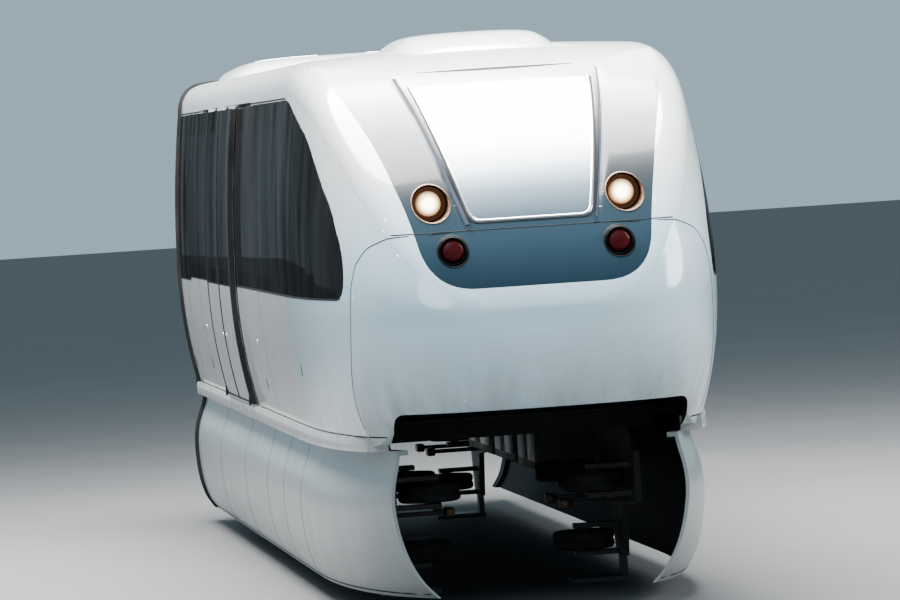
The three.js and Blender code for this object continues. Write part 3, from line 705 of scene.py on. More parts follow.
@dataclass(frozen=True)
class BodyForm:
    """The body's outside as a formula: one section that shrinks towards the nose tip."""

    nose_x: float = 6.65
    nose_length: float = 3.2
    half_width: float = 1.31
    waist_z: float = 1.0
    base_z: float = 0.05
    crest_z: float = 2.52
    edge_z: float = 2.263
    tip_z: float = 0.85
    low_radius: float = 3.6
    high_radius: float = 9.27
    shoulder_y: float = 1.02
    shoulder_z: float = 2.483
    pull: float = 0.012
    lift: float = 0.205
    blunt: float = 0.12
    chin_length: float = 1.1
    chin_back: float = 0.45
    roof_back: float = 0.45
    roof_from: float = 1.3
    back_fade: float = 0.8
    centre_z: float = 1.3

    def side_y(self, z: np.ndarray) -> np.ndarray:
        """Half width of the straight section at a height."""
        radius = np.where(z < self.waist_z, self.low_radius, self.high_radius)
        return self.half_width - (z - self.waist_z) ** 2 / (2 * radius)

    def section(self, outset: float) -> tuple[np.ndarray, np.ndarray]:
        """The straight section's right half.

        Args:
            outset: how far the section is grown.

        Returns:
            The angle about the section's middle and the radius there, from the base to the crest.
        """
        low = np.linspace(self.base_z, self.edge_z, 90)
        side = np.stack([self.side_y(low) + outset, low])
        edge_y = float(self.side_y(np.array(self.edge_z)))
        ends = np.array([[edge_y + outset, self.edge_z],
                         [edge_y - self.pull + outset, self.edge_z + self.lift + outset],
                         [self.shoulder_y + outset * 0.6, self.shoulder_z + outset]])
        t = np.linspace(0, 1, 40)[1:, None]
        bend = ((1 - t) ** 2 * ends[0] + 2 * t * (1 - t) * ends[1] + t**2 * ends[2]).T
        share = np.linspace(1, 0, 40)[1:]
        across = (self.shoulder_y + outset * 0.6) * share
        roof = np.stack([across, self.crest_z + outset - (self.crest_z - self.shoulder_z) * share**2])
        y, z = np.concatenate([side, bend, roof], axis=1)
        return np.arctan2(z - self.centre_z, y), np.hypot(y, z - self.centre_z)

    @staticmethod
    def super_round(share: np.ndarray, power: float, root: float) -> np.ndarray:
        """Share of the full size at a share of the way back from the tip."""
        s = np.clip(share, 0.0001, 1.0)
        return (1 - (1 - s) ** power) ** (1 / root)

    def plan(self, back: np.ndarray, drawn: np.ndarray) -> np.ndarray:
        """Share of the full width behind the tip."""
        read = back - drawn * (1 - np.exp(-back / self.back_fade))
        return self.super_round(read / self.nose_length, 3.2, 4.5)

    def rise(self, back: np.ndarray) -> np.ndarray:
        """Share of the full height above the tip.

        Args:
            back: distance behind the tip.

        Returns:
            The share.
        """
        share = back / self.nose_length
        straight = self.super_round(share, 2.76, 1.1)
        return (1 - self.blunt) * straight + self.blunt * self.super_round(share, 2.6, 2.8)

    def base_taper(self, x: float) -> float:
        """Share of the full width along the body's base."""
        return float(self.plan(np.array(self.nose_x - x), np.array(self.chin_back)))

    def level(self, points: np.ndarray, table: tuple[np.ndarray, np.ndarray]) -> np.ndarray:
        """Rough distance outside the body, in metres and negative inside.

        Args:
            points: places as rows.
            table: the section from section().

        Returns:
            One distance a row.
        """
        x, y, z = points.T
        back = np.clip(self.nose_x - x, 0.0005, None)
        chin = self.super_round(back / self.chin_length, 2, 2)
        height = self.tip_z + (z - self.tip_z) / np.where(z > self.tip_z, self.rise(back), chin)
        below = np.clip((self.tip_z - height) / (self.tip_z - self.base_z), 0, 1)
        above = np.clip((height - self.roof_from) / (self.crest_z - self.roof_from), 0, 1)
        wide = np.abs(y) / self.plan(back, self.chin_back * below**2 + self.roof_back * above**2)
        angle = np.arctan2(height - self.centre_z, wide)
        true = np.interp(angle, *table)
        return np.hypot(wide, height - self.centre_z) - true

    def gradient(self, points: np.ndarray, table: tuple[np.ndarray, np.ndarray]) -> np.ndarray:
        """How the level changes with each coordinate.

        Args:
            points: places as rows.
            table: the section from section().

        Returns:
            One slope a row.
        """
        step = 0.0004
        rows = [self.level(points + d, table) - self.level(points - d, table) for d in np.eye(3) * step]
        return np.stack(rows, axis=1) / (2 * step)


FORM = BodyForm()
LEAF_FACE = 0.043
BOGIE_X = 3.8
HEX = 6
RAYS_FROM = (9.0, 3.0, 5.0)


def unit_rows(rows: np.ndarray) -> np.ndarray:
    """Each row brought to length one."""
    return rows / (np.linalg.norm(rows, axis=1)[:, None] + 1e-12)


class Shape:
    """A bmesh on its way to a finished piece."""

    def __init__(self) -> None:
        """Starts empty."""
        self.bm = bmesh.new()

    def slab(self, low: Point, high: Point, soft: float = 0.0, segments: int = 2) -> "Shape":
        """Adds a box between two corners.

        Args:
            low: its lowest corner.
            high: its highest corner.
            soft: radius of its edges.
            segments: faces across each rounded edge.

        Returns:
            This shape.
        """
        made = bmesh.ops.create_cube(self.bm, size=1.0)["verts"]
        size = Vector(high) - Vector(low)
        bmesh.ops.scale(self.bm, vec=size, verts=made)
        bmesh.ops.translate(self.bm, vec=(Vector(low) + Vector(high)) / 2, verts=made)
        if soft:
            self.soften({e for v in made for e in v.link_edges}, soft, segments)
        return self

    def side_slab(self, side: int, along: Pair, out: Pair, up: Pair, soft: float = 0.0, segments: int = 2) -> "Shape":
        """Adds a box on one side of the car."""
        near, away = sorted(side * y for y in out)
        return self.slab((along[0], near, up[0]), (along[1], away, up[1]), soft, segments)

    def soften(self, edges: Iterable[bmesh.types.BMEdge], radius: float, segments: int) -> None:
        """Rounds edges."""
        bmesh.ops.bevel(self.bm, geom=list(edges), offset=radius, offset_type="OFFSET", segments=segments,
                        profile=0.5, affect="EDGES", material=-1, clamp_overlap=True)

    def rod(self, start: Point, end: Point, radius: float, sides: int = 12) -> "Shape":
        """Adds a round bar.

        Args:
            start: middle of one end.
            end: middle of the other end.
            radius: its radius.
            sides: faces round it.

        Returns:
            This shape.
        """
        a, b = Vector(start), Vector(end)
        turn = (b - a).to_track_quat("Z", "Y").to_matrix().to_4x4()
        bmesh.ops.create_cone(self.bm, cap_ends=True, segments=sides, radius1=radius, radius2=radius,
                              depth=(b - a).length, matrix=Matrix.Translation((a + b) / 2) @ turn)
        return self

    def bolt_circle(self, centre: Point, axis: str, pitch: float, count: int, span: Pair, radius: float) -> "Shape":
        """Adds hexagonal bars in a circle.

        Args:
            centre: middle of the circle.
            axis: Y or Z, the way that the bars point.
            pitch: the circle's radius.
            count: number of bars.
            span: both ends of the bars along the axis, from the centre.
            radius: a bar's radius.

        Returns:
            This shape.
        """
        x, y, z = centre
        for angle in np.arange(count) * math.tau / count:
            a, b = pitch * math.cos(angle), pitch * math.sin(angle)
            ends = [(x + a, y + h, z + b) if axis == "Y" else (x + a, y + b, z + h) for h in span]
            self.rod(*ends, radius, HEX)
        return self

    def turned(self, profile: Sequence[Pair], axis: str, centre: Point, steps: int = 48) -> "Shape":
        """Adds a spun profile.

        Args:
            profile: radius and place along the axis of each point, a closed line if it ends where it starts.
            axis: X, Y or Z.
            centre: a point of the axis.
            steps: parts of the full turn.

        Returns:
            This shape.
        """
        along = {"X": Vector((1, 0, 0)), "Y": Vector((0, 1, 0)), "Z": Vector((0, 0, 1))}[axis]
        out = Vector((0, 0, 1)) if axis != "Z" else Vector((1, 0, 0))
        middle = Vector(centre)
        verts = [self.bm.verts.new(middle + out * r + along * h) for r, h in profile]
        edges = [self.bm.edges.new(pair) for pair in zip(verts, verts[1:])]
        bmesh.ops.spin(self.bm, geom=[*verts, *edges], cent=middle, axis=along, angle=math.tau, steps=steps,
                       use_merge=True, use_duplicate=False)
        return self

    def swept(self, path: Path, section: Sequence[Pair], swell: float = 0.0) -> "Shape":
        """Adds a section carried along a path that lies on a surface.

        Args:
            path: points with the surface's outward normal.
            section: places across the path and out from the surface.
            swell: how much broader the middle is, as a share of the section.

        Returns:
            This shape.
        """
        count = len(path)
        rings = []
        for i, (point, normal) in enumerate(path):
            before, after = path[max(i - 1, 0)][0], path[min(i + 1, count - 1)][0]
            across = (after - before).normalized().cross(normal).normalized()
            broad = 1.0 + swell * math.sin(math.pi * i / count)
            rings.append([point + across * a * broad + normal * b for a, b in section])
        return self.lofted(rings)

    def lofted(self, rings: Sequence[Sequence[Point]], closed: bool = False) -> "Shape":
        """Adds a skin carried over rings of like points, with an end face on each end.

        Args:
            rings: the places of each ring's points.
            closed: whether the last ring joins the first.

        Returns:
            This shape.
        """
        first = ring = None
        for places in rings:
            if ring is None:
                verts = [self.bm.verts.new(p) for p in places]
                edges = [self.bm.edges.new(pair) for pair in zip(verts, [*verts[1:], verts[0]])]
                first = ring = (verts, edges)
                continue
            made = bmesh.ops.extrude_edge_only(self.bm, edges=ring[1])["geom"]
            found = {v for v in made if isinstance(v, bmesh.types.BMVert)}
            verts = [next(v for v in (e.other_vert(old) for e in old.link_edges) if v in found) for old in ring[0]]
            for vert, place in zip(verts, places):
                vert.co = place
            edges = [self.bm.edges.get(pair) for pair in zip(verts, [*verts[1:], verts[0]])]
            ring = (verts, edges)
        if closed:
            bmesh.ops.bridge_loops(self.bm, edges=[*ring[1], *first[1]])
        else:
            for verts, _ in (first, ring):
                self.bm.faces.new(verts)
        return self

    def piece(self, name: str, body: str, finish: Finish, slot: Slot, stands_for: Iterable[str] = (),
              smooth: float = 40.0, second: "Second | None" = None) -> bpy.types.Object:
        """Ends the shape as an object of the model.

        Args:
            name: the piece's name.
            body: the body it moves with.
            finish: its finish.
            slot: the record's slot, not used.
            stands_for: the part's nodes that it takes the place of.
            smooth: edges sharper than this angle stay sharp.
            second: another finish and the faces that take it.

        Returns:
            The object.
        """
        bmesh.ops.remove_doubles(self.bm, verts=self.bm.verts, dist=1e-6)
        bmesh.ops.recalc_face_normals(self.bm, faces=self.bm.faces)
        limit = math.radians(smooth)
        for face in self.bm.faces:
            face.smooth = True
            if second and second.takes(face.calc_center_median(), face.normal):
                face.material_index = 1
        for edge in self.bm.edges:
            edge.smooth = len(edge.link_faces) == 2 and edge.calc_face_angle(0.0) < limit
        made = placed(name, self.bm)
        dress(made, body, finish, stands_for)
        if second:
            made.data.materials.append(second.finish.material())
        return made


@dataclass(frozen=True)
class Second:
    """A second finish for those faces whose middle and normal pass a test."""

    finish: Finish
    takes: Callable[[Vector, Vector], bool]


def placed(name: str, bm: bmesh.types.BMesh) -> bpy.types.Object:
    """Ends a bmesh as an object of the scene.

    Args:
        name: the object's name.
        bm: the bmesh, which is freed.

    Returns:
        The object.
    """
    mesh = bpy.data.meshes.new(name)
    bm.to_mesh(mesh)
    bm.free()
    made = bpy.data.objects.new(name, mesh)
    bpy.context.scene.collection.objects.link(made)
    return made


def dress(made: bpy.types.Object, body: str, finish: Finish,
          stands_for: Iterable[str] = ()) -> None:
    """Gives a new object its finish and body.

    Args:
        made: the object.
        body: the body it moves with.
        finish: its finish.
        stands_for: the part's nodes that it takes the place of.
    """
    made.data.materials.append(finish.material())
    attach(made, body)
    nodes = tuple(stands_for)
    if nodes:
        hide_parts(*nodes)
    LOG.info("%s: %d faces on %s", made.name, len(made.data.polygons), body)


CORNER_STEPS = 4
MASK_CORNERS: tuple[Point, ...] = (
    (0.0, 1.018, 0.0), (0.665, 1.018, 0.28), (0.74, 1.45, 0.15), (0.87, 1.905, 0.15), (1.09, 2.43, 0.0),
)


class FineCopy:
    """A part's node with its outside faces split until they follow the body's true curve.

    A face counts as outside when it faces the form's way closely enough, lies no deeper under it
    than a coarse facet does and isn't a straight cut or a seat; the nose's blunt cap always does.
    """

    LEAST_FACING = 0.62
    STRAIGHT_CUT = 0.999995
    TIP_X = 6.3
    CAP_X = 6.64
    CAP_DEPTH = 0.004
    FACET_DEPTH = (0.02, 0.055)
    PROUD = 0.004
    SEAT_GAP = 0.002
    LEVEL_WAY = (1.2, 1.7)
    LEAST_REACH = 0.25
    LONGEST_STEP = 0.012
    UNDERSIDE_Z = 0.2
    LEAST_ERROR = 0.0002
    SHORTEST = 0.012
    ROUNDS = 7

    def __init__(self, node: bpy.types.Object, around: "Skin", outset: float = 0.0,
                 relief: Callable[[np.ndarray], np.ndarray] | None = None) -> None:
        """Copies the node's mesh and marks its outside faces.

        Args:
            node: the part's node.
            around: all the nodes, which tell a seat under another piece from an outside face.
            outset: how far outside the body its face lies.
            relief: height of a fold at given places, if the piece has one.
        """
        self.node = node
        self.table = FORM.section(outset)
        self.relief = relief
        self.bm = bmesh.new()
        self.bm.from_mesh(node.data)
        bmesh.ops.remove_doubles(self.bm, verts=self.bm.verts, dist=2e-6)
        self.mark = self.bm.faces.layers.int.new("outside")
        faces = list(self.bm.faces)
        middles = np.array([f.calc_center_median() for f in faces])
        normals = np.array([f.normal for f in faces])
        slope = unit_rows(FORM.gradient(middles, self.table))
        depth = self.distance(np.array([v.co for v in self.bm.verts]))
        self.bm.verts.index_update()
        lowest = np.array([min(depth[v.index] for v in f.verts) for f in faces])
        limit = np.where(middles[:, 0] > self.TIP_X, -self.FACET_DEPTH[1], -self.FACET_DEPTH[0])
        facing = (normals * slope).sum(axis=1)
        cut = np.abs(normals).max(axis=1) > self.STRAIGHT_CUT
        outside = (facing > self.LEAST_FACING) & (lowest > limit) & (self.distance(middles) < self.PROUD) & ~cut
        outside |= (middles[:, 0] > self.CAP_X) & (normals[:, 0] > self.LEAST_FACING)
        for face, chosen in zip(faces, outside):
            face[self.mark] = int(chosen and not self.covered(face, around))

    def covered(self, face: bmesh.types.BMFace, around: "Skin") -> bool:
        """Whether another piece lies right on a face."""
        start = face.calc_center_median() + face.normal * 0.0001
        return around.tree.ray_cast(start, face.normal, self.SEAT_GAP)[0] is not None

    def distance(self, points: np.ndarray) -> np.ndarray:
        """Distance from the body's true outside, by rows."""
        slope = np.linalg.norm(FORM.gradient(points, self.table), axis=1)
        return FORM.level(points, self.table) / np.maximum(slope, 1e-6)

    def target(self, points: np.ndarray) -> np.ndarray:
        """Distance from where the finished surface should be, by rows."""
        raised = self.relief(points) if self.relief else 0.0
        return self.distance(points) - raised

    def refine(self) -> None:
        """Splits outside edges whose middle is off the curve and moves points onto it."""
        for _ in range(self.ROUNDS):
            edges = [e for e in self.bm.edges
                     if any(f[self.mark] for f in e.link_faces) and e.calc_length() > self.SHORTEST]
            middles = np.array([(e.verts[0].co + e.verts[1].co) / 2 for e in edges])
            off = np.abs(self.target(middles)) > self.LEAST_ERROR
            chosen = [e for e, far in zip(edges, off) if far]
            if not chosen:
                break
            bmesh.ops.subdivide_edges(self.bm, edges=chosen, cuts=1, use_grid_fill=True)
            ngons = [f for f in self.bm.faces if len(f.verts) > 3]
            bmesh.ops.triangulate(self.bm, faces=ngons)
            self.settle()

    def round_corners(self, rows: Sequence[Point], reach: float = 0.04) -> None:
        """Bends the part's straight steps round an outline's corners into their true curve.

        Args:
            rows: the outline seen from the front: across, height and how far each corner is cut back.
            reach: how far from the outline the points move with it.
        """
        self.bm.verts.ensure_lookup_table()
        places = np.array([v.co for v in self.bm.verts])[:, 1:]
        nearest = np.full(len(places), reach)
        shift = np.zeros_like(places)
        for i in range(1, len(rows) - 1):
            before, corner, after = (np.array(rows[k][:2]) for k in (i - 1, i, i + 1))
            cut = rows[i][2]
            start, end = (corner + (p - corner) / np.linalg.norm(p - corner) * cut for p in (before, after))
            bow = (2 * corner - start - end) / CORNER_STEPS**2
            times = np.linspace(0, 1, CORNER_STEPS + 1)[:, None]
            curve = (1 - times) ** 2 * start + 2 * times * (1 - times) * corner + times**2 * end
            for a, b in zip(curve, curve[1:]):
                share = np.clip((places - a) @ (b - a) / ((b - a) @ (b - a)), 0, 1)
                far = np.linalg.norm(places - a - share[:, None] * (b - a), axis=1)
                closer = far < nearest
                nearest = np.where(closer, far, nearest)
                move = (share * (1 - share) * (1 - far / reach))[:, None] * bow
                shift = np.where(closer[:, None], move, shift)
        for vert, (y, z) in zip(self.bm.verts, shift):
            vert.co.y += y
            vert.co.z += z
        self.settle()

    def settle(self) -> None:
        """Moves the outside faces' points onto the curve.

        Below the waist they move level, as the cuts there are level, and points on a cut's edge
        stay in its plane.
        """
        verts = list({v for f in self.bm.faces if f[self.mark] for v in f.verts})
        points = np.array([v.co for v in verts])
        cuts = np.zeros_like(points)
        for i, vert in enumerate(verts):
            walls = [f for f in vert.link_faces if not f[self.mark]]
            if walls:
                cuts[i] = max(walls, key=lambda f: f.calc_area()).normal
        inner = points[:, 0] < FORM.nose_x - self.CAP_DEPTH
        low, high = self.LEVEL_WAY
        steep = np.clip((points[:, 2] - low) / (high - low), 0, 1)
        for _ in range(3):
            slope = unit_rows(FORM.gradient(points, self.table))
            way = np.column_stack([slope[:, :2], slope[:, 2] * steep])
            along = way - cuts * (way * cuts).sum(axis=1)[:, None]
            reach = (along * slope).sum(axis=1)
            usable = reach > self.LEAST_REACH
            way = np.where(usable[:, None], along / np.maximum(reach, self.LEAST_REACH)[:, None], slope)
            step = np.clip(self.target(points), -self.LONGEST_STEP, self.LONGEST_STEP)[:, None] * way
            points = points - np.where(inner[:, None], step, 0.0)
        for vert, place in zip(verts, points):
            vert.co = place

    def piece(self, name: str, body: str, finish: Finish, slot: Slot, inner: Finish) -> bpy.types.Object:
        """Ends the copy as a piece that takes the node's place, with the curve's own normals.

        Args:
            name: the piece's name.
            body: the body it moves with.
            finish: the outside's finish.
            slot: the record's slot, not used.
            inner: the finish of the other faces.

        Returns:
            The object.
        """
        self.bm.normal_update()
        corners = [(face, loop) for face in self.bm.faces for loop in face.loops]
        places = np.array([loop.vert.co for _, loop in corners])
        smooth = FORM.gradient(places, self.table)
        if self.relief:
            step = 0.0015
            bends = [self.relief(places + d) - self.relief(places - d) for d in np.eye(3) * step]
            lean = np.stack(bends, axis=1) / (2 * step)
            smooth = unit_rows(smooth) - lean
        smooth = unit_rows(smooth)
        flat = np.array([face.normal for face, _ in corners])
        outside = np.array([face[self.mark] for face, _ in corners], bool)
        smooth[places[:, 0] > FORM.nose_x - self.CAP_DEPTH] = (1.0, 0.0, 0.0)
        normals = np.where(outside[:, None], smooth, flat)
        for face in self.bm.faces:
            face.smooth = True
            underside = face.normal.z < -0.7 and face.calc_center_median().z < self.UNDERSIDE_Z
            face.material_index = 0 if face[self.mark] or underside else 1
        made = placed(name, self.bm)
        made.data.normals_split_custom_set([tuple(n) for n in normals])
        dress(made, body, finish, [self.node.name])
        made.data.materials.append(inner.material())
        return made


class Skin:
    """The outside of some pieces, for laying trim on it."""

    def __init__(self, objects: Iterable[bpy.types.Object]) -> None:
        """Builds a search tree over the objects' faces.

        Args:
            objects: the pieces.
        """
        verts: list[Vector] = []
        faces: list[tuple[int, ...]] = []
        for thing in objects:
            start = len(verts)
            verts.extend(v.co.copy() for v in thing.data.vertices)
            faces.extend(tuple(start + i for i in p.vertices) for p in thing.data.polygons)
        self.tree = BVHTree.FromPolygons(verts, faces)

    def hit(self, origin: Point, direction: Point) -> tuple[Vector, Vector] | None:
        """Where a ray meets the pieces.

        Args:
            origin: the ray's start.
            direction: its way.

        Returns:
            The place and the outward normal, or None where it meets nothing.
        """
        place, normal, _, _ = self.tree.ray_cast(Vector(origin), Vector(direction).normalized())
        if place is None:
            return None
        return place, -normal if normal.dot(Vector(direction)) > 0 else normal

    def side(self, points: Iterable[Pair], side: int) -> Path:
        """A path of x, z points seen from one side."""
        return [h for x, z in points if (h := self.hit((x, side * RAYS_FROM[1], z), (0, -side, 0)))]

    def ahead(self, points: Iterable[Pair]) -> Path:
        """A path of y, z points seen from ahead."""
        return [h for y, z in points if (h := self.hit((RAYS_FROM[0], y, z), (-1, 0, 0)))]

    def above(self, points: Iterable[Pair]) -> Path:
        """A path of x, y points seen from above."""
        return [h for x, y in points if (h := self.hit((x, y, RAYS_FROM[2]), (0, 0, -1)))]

    def line(self, corners: Sequence[Pair], side: int, spacing: float) -> Path:
        """A path along a line of x, z corners seen from one side."""
        return self.side(along_line(corners, spacing), side)


def bead(half: float, high: float, sunk: float = 0.004) -> list[Pair]:
    """Section of a half-round strip that is bedded a little in its surface."""
    return [(-half, -sunk), (-half, high * 0.4), (-half * 0.5, high), (half * 0.5, high), (half, high * 0.4),
            (half, -sunk)]


def between(a: Sequence[float], b: Sequence[float], steps: int) -> list[tuple[float, ...]]:
    """Evenly spaced points from one point to another, both included."""
    return [tuple(p + (q - p) * i / steps for p, q in zip(a, b)) for i in range(steps + 1)]


def along_line(corners: Sequence[Pair], spacing: float) -> list[tuple[float, ...]]:
    """Points along a line of corners.

    Args:
        corners: the line's corners.
        spacing: the furthest that two points lie apart.

    Returns:
        The points.
    """
    made: list[tuple[float, ...]] = [tuple(corners[0])]
    for a, b in zip(corners, corners[1:]):
        steps = max(1, math.ceil(math.dist(a, b) / spacing))
        made.extend(between(a, b, steps)[1:])
    return made


@dataclass(frozen=True)
class Fold:
    """The crease that runs down each side of the windshield in the mask, from top to low as y, z."""

    top: Pair = (0.65, 2.36)
    low: Pair = (0.35, 1.23)
    depth: float = 0.01
    half: float = 0.024

    def share(self, z: np.ndarray | float) -> np.ndarray | float:
        """How far up the crease a height lies."""
        return (z - self.low[1]) / (self.top[1] - self.low[1])

    def middle(self, z: np.ndarray | float) -> np.ndarray | float:
        """Distance of the crease from the car's centreline at a height."""
        return self.low[0] + (self.top[0] - self.low[0]) * self.share(z)

    def relief(self, points: np.ndarray) -> np.ndarray:
        """Depth of the crease at given places, fading out at its ends.

        Args:
            points: places as rows.

        Returns:
            Negative heights by rows.
        """
        y, z = np.abs(points[:, 1]), points[:, 2]
        share = self.share(z)
        fade = np.clip(share * 5.0 - 0.5, 0.0, 1.0) * np.clip((1.0 - share) * 12.0, 0.0, 1.0)
        return -self.depth * fade * np.exp(-(((y - self.middle(z)) / self.half) ** 2))


FOLD = Fold()


@dataclass
class Bodywork:
    """Body panels, glass bands and windshield, each refined from its own solid."""

    ROUND_MASK: ClassVar[tuple[str, ...]] = ("mask_panel", "nose_shell", "nose_lower_panel")

    nodes: dict[str, bpy.types.Object]
    around: Skin

    def panel(self, node: str, finish: Finish, slot: Slot, inner: Finish, outset: float = 0.0, body: str = BODY,
              relief: Callable[[np.ndarray], np.ndarray] | None = None) -> bpy.types.Object:
        """Refines one node.

        Args:
            node: the node's name.
            finish: its finish.
            slot: the record's slot.
            inner: the finish of its inside.
            outset: how far outside the body its face lies.
            body: the body it moves with.
            relief: a fold in its face, if it has one.

        Returns:
            The piece.
        """
        copy = FineCopy(self.nodes[node], self.around, outset, relief)
        copy.refine()
        if node in self.ROUND_MASK:
            for side in SIDES.values():
                copy.round_corners([(y * side, z, cut) for y, z, cut in MASK_CORNERS])
        return copy.piece(f"{node}_skin", body, finish, slot, inner)

    def build(self) -> dict[str, bpy.types.Object]:
        """Makes every panel.

        Returns:
            The pieces by their node's name.
        """
        made = {}
        # Painted shade: the lower nose panel's inner faces round the notch under the nose are black.
        for node, finish, inner in (("roof_shell", WHITE, LINING), ("nose_shell", NOSE, LINING),
                                    ("nose_lower_panel", LOWER, BLACK)):
            made[node] = self.panel(node, finish, Slot.WHITE, inner)
        made["mask_panel"] = self.panel("mask_panel", MASK, Slot.SILVER, BLACK, relief=FOLD.relief)
        made["windshield"] = self.panel("windshield", SCREEN, Slot.SCREEN, SCREEN)
        for side in SIDES:
            for end in ENDS:
                name = f"{side}_{end}"
                for kind, finish, slot, inner, outset, body in (
                    ("side_wall", WHITE, Slot.WHITE, LINING, 0.0, BODY),
                    ("glass_band", BAND, Slot.BAND, BAND, 0.0, BODY),
                    ("door_leaf", WHITE, Slot.WHITE, LINING, LEAF_FACE, f"door_{name}"),
                    ("door_glass", LEAF_GLASS, Slot.BAND, LEAF_GLASS, LEAF_FACE, f"door_{name}"),
                ):
                    node = f"{kind}_{name}"
                    made[node] = self.panel(node, finish, slot, inner, outset, body)
        return made


def smooth_line(points: Sequence[Sequence[float]], steps: int) -> list[tuple[float, ...]]:
    """A curve through every point.

    Args:
        points: the points passed through.
        steps: parts between each two of them.

    Returns:
        The curve's points.
    """
    rows = np.array(points, float)
    rows = np.vstack([2 * rows[0] - rows[1], rows, 2 * rows[-1] - rows[-2]])
    made = [tuple(rows[1])]
    for a, b, c, d in zip(rows, rows[1:], rows[2:], rows[3:]):
        for t in np.linspace(0, 1, steps + 1)[1:]:
            curve = 2 * b + (c - a) * t + (2 * a - 5 * b + 4 * c - d) * t**2 + (3 * b - a - 3 * c + d) * t**3
            made.append(tuple(curve / 2))
    return made


def rounded(rows: Sequence[Point]) -> list[Pair]:
    """A line of corners with the inner ones cut round.

    Args:
        rows: each corner and how far it is cut back.

    Returns:
        The line's points.
    """
    made: list[Pair] = []
    for i, (a, b, cut) in enumerate(rows):
        if not cut:
            made.append((a, b))
            continue
        here = Vector((a, b))
        start = here + (Vector(rows[i - 1][:2]) - here).normalized() * cut
        end = here + (Vector(rows[i + 1][:2]) - here).normalized() * cut
        times = np.linspace(0, 1, CORNER_STEPS + 1)
        made.extend(tuple(start.lerp(here, t).lerp(here.lerp(end, t), t)) for t in times)
    return made


@dataclass
class Skirts:
    """Smooth skirts along both sides, painted outside and black inside as painted shade, with their panel joints.

    The outline runs down the outer face as z, y; drawn says how far the plan is drawn back at the
    top, how much more at the foot and how deep the foot lies.
    """

    outline: tuple[Pair, ...] = (
        (0.046, 1.165), (-0.04, 1.185), (-0.2, 1.24), (-0.36, 1.26), (-0.59, 1.247), (-0.76, 1.205),
        (-0.87, 1.14),
    )
    thick: float = 0.03
    flange: float = 0.09
    rear: float = -5.25
    front: float = 5.9
    drawn: Point = (0.75, 0.35, 0.9)
    bend_from: float = 3.45
    spacing: float = 0.055
    joints: tuple[float, ...] = (-3.05, -0.85, 0.96, 2.22, 3.47)
    rib_z: float = -0.845
    clip_z: float = -0.8
    clip_pitch: float = 0.62
    clips_end: float = 5.2

    def taper(self, x: float, z: float) -> float:
        """Share of the full width at a place, less towards the nose and towards the foot."""
        back, foot, deep = self.drawn
        return float(FORM.plan(np.array(FORM.nose_x - x), np.array(back + foot * (min(z, 0.0) / deep) ** 2)))

    def outside(self) -> list[tuple[float, ...]]:
        """Fine outline of the outer face as z, y from the top down."""
        return smooth_line(self.outline, 5)

    def panel(self, side: str, sign: int) -> bpy.types.Object:
        """Makes one skirt with the flange that it hangs from.

        Args:
            side: its side.
            sign: 1 for the left side, -1 for the right.

        Returns:
            The piece.
        """
        face = self.outside()
        top_z, top_y = self.outline[0]
        back = [(z, y - self.thick) for z, y in reversed(face)]
        back[-1] = (top_z - self.thick, top_y - self.thick)
        lip = top_y - self.flange
        section = [*face, *back, (top_z - self.thick, lip), (top_z, lip)]
        count = math.ceil((self.front - self.bend_from) / self.spacing)
        stations = [self.rear, *np.linspace(self.bend_from, self.front, count)]
        rings = [[(x, sign * y * self.taper(x, z), z) for z, y in section] for x in stations]
        # Painted shade: the inner faces are black, as the space between the skirts lies in shade.
        inner = Second(BLACK, lambda _, normal: normal.y * sign < -0.3)
        halves = [f"skirt_{side}_{part}" for part in ENDS]
        skirt = Shape().lofted(rings)
        return skirt.piece(f"skirt_{side}_panel", BODY, SKIRT_PAINT_DIRT_AND_SHADE, Slot.WHITE, halves, 35.0, inner)

    def build(self, bellows_rear: float) -> None:
        """Makes both skirts, their joints and their fasteners.

        Args:
            bellows_rear: rear end of the end band, where nothing may reach.
        """
        heights = [z for z, _ in self.outside()[1:-1]]
        for side, sign in SIDES.items():
            skin = Skin([self.panel(side, sign)])
            lines = Shape()
            for x in self.joints:
                lines.swept(skin.side([(x, z) for z in heights], sign), bead(0.0035, 0.0012))
            rib = [(self.rear + 0.01, self.rib_z), (self.front - 0.03, self.rib_z)]
            lines.swept(skin.line(rib, sign, 0.2), bead(0.006, 0.003))
            lines.piece(f"skirt_{side}_joints", BODY, BLACK, Slot.RUBBER)
            clips = Shape()
            spots = np.arange(bellows_rear + self.clip_pitch, self.clips_end, self.clip_pitch)
            for place, out in skin.side([(x, self.clip_z) for x in spots], sign):
                clips.rod(place - out * 0.004, place + out * 0.002, 0.01, 10)
            clips.piece(f"skirt_{side}_fasteners", BODY, ALUMINIUM, Slot.FRAME)


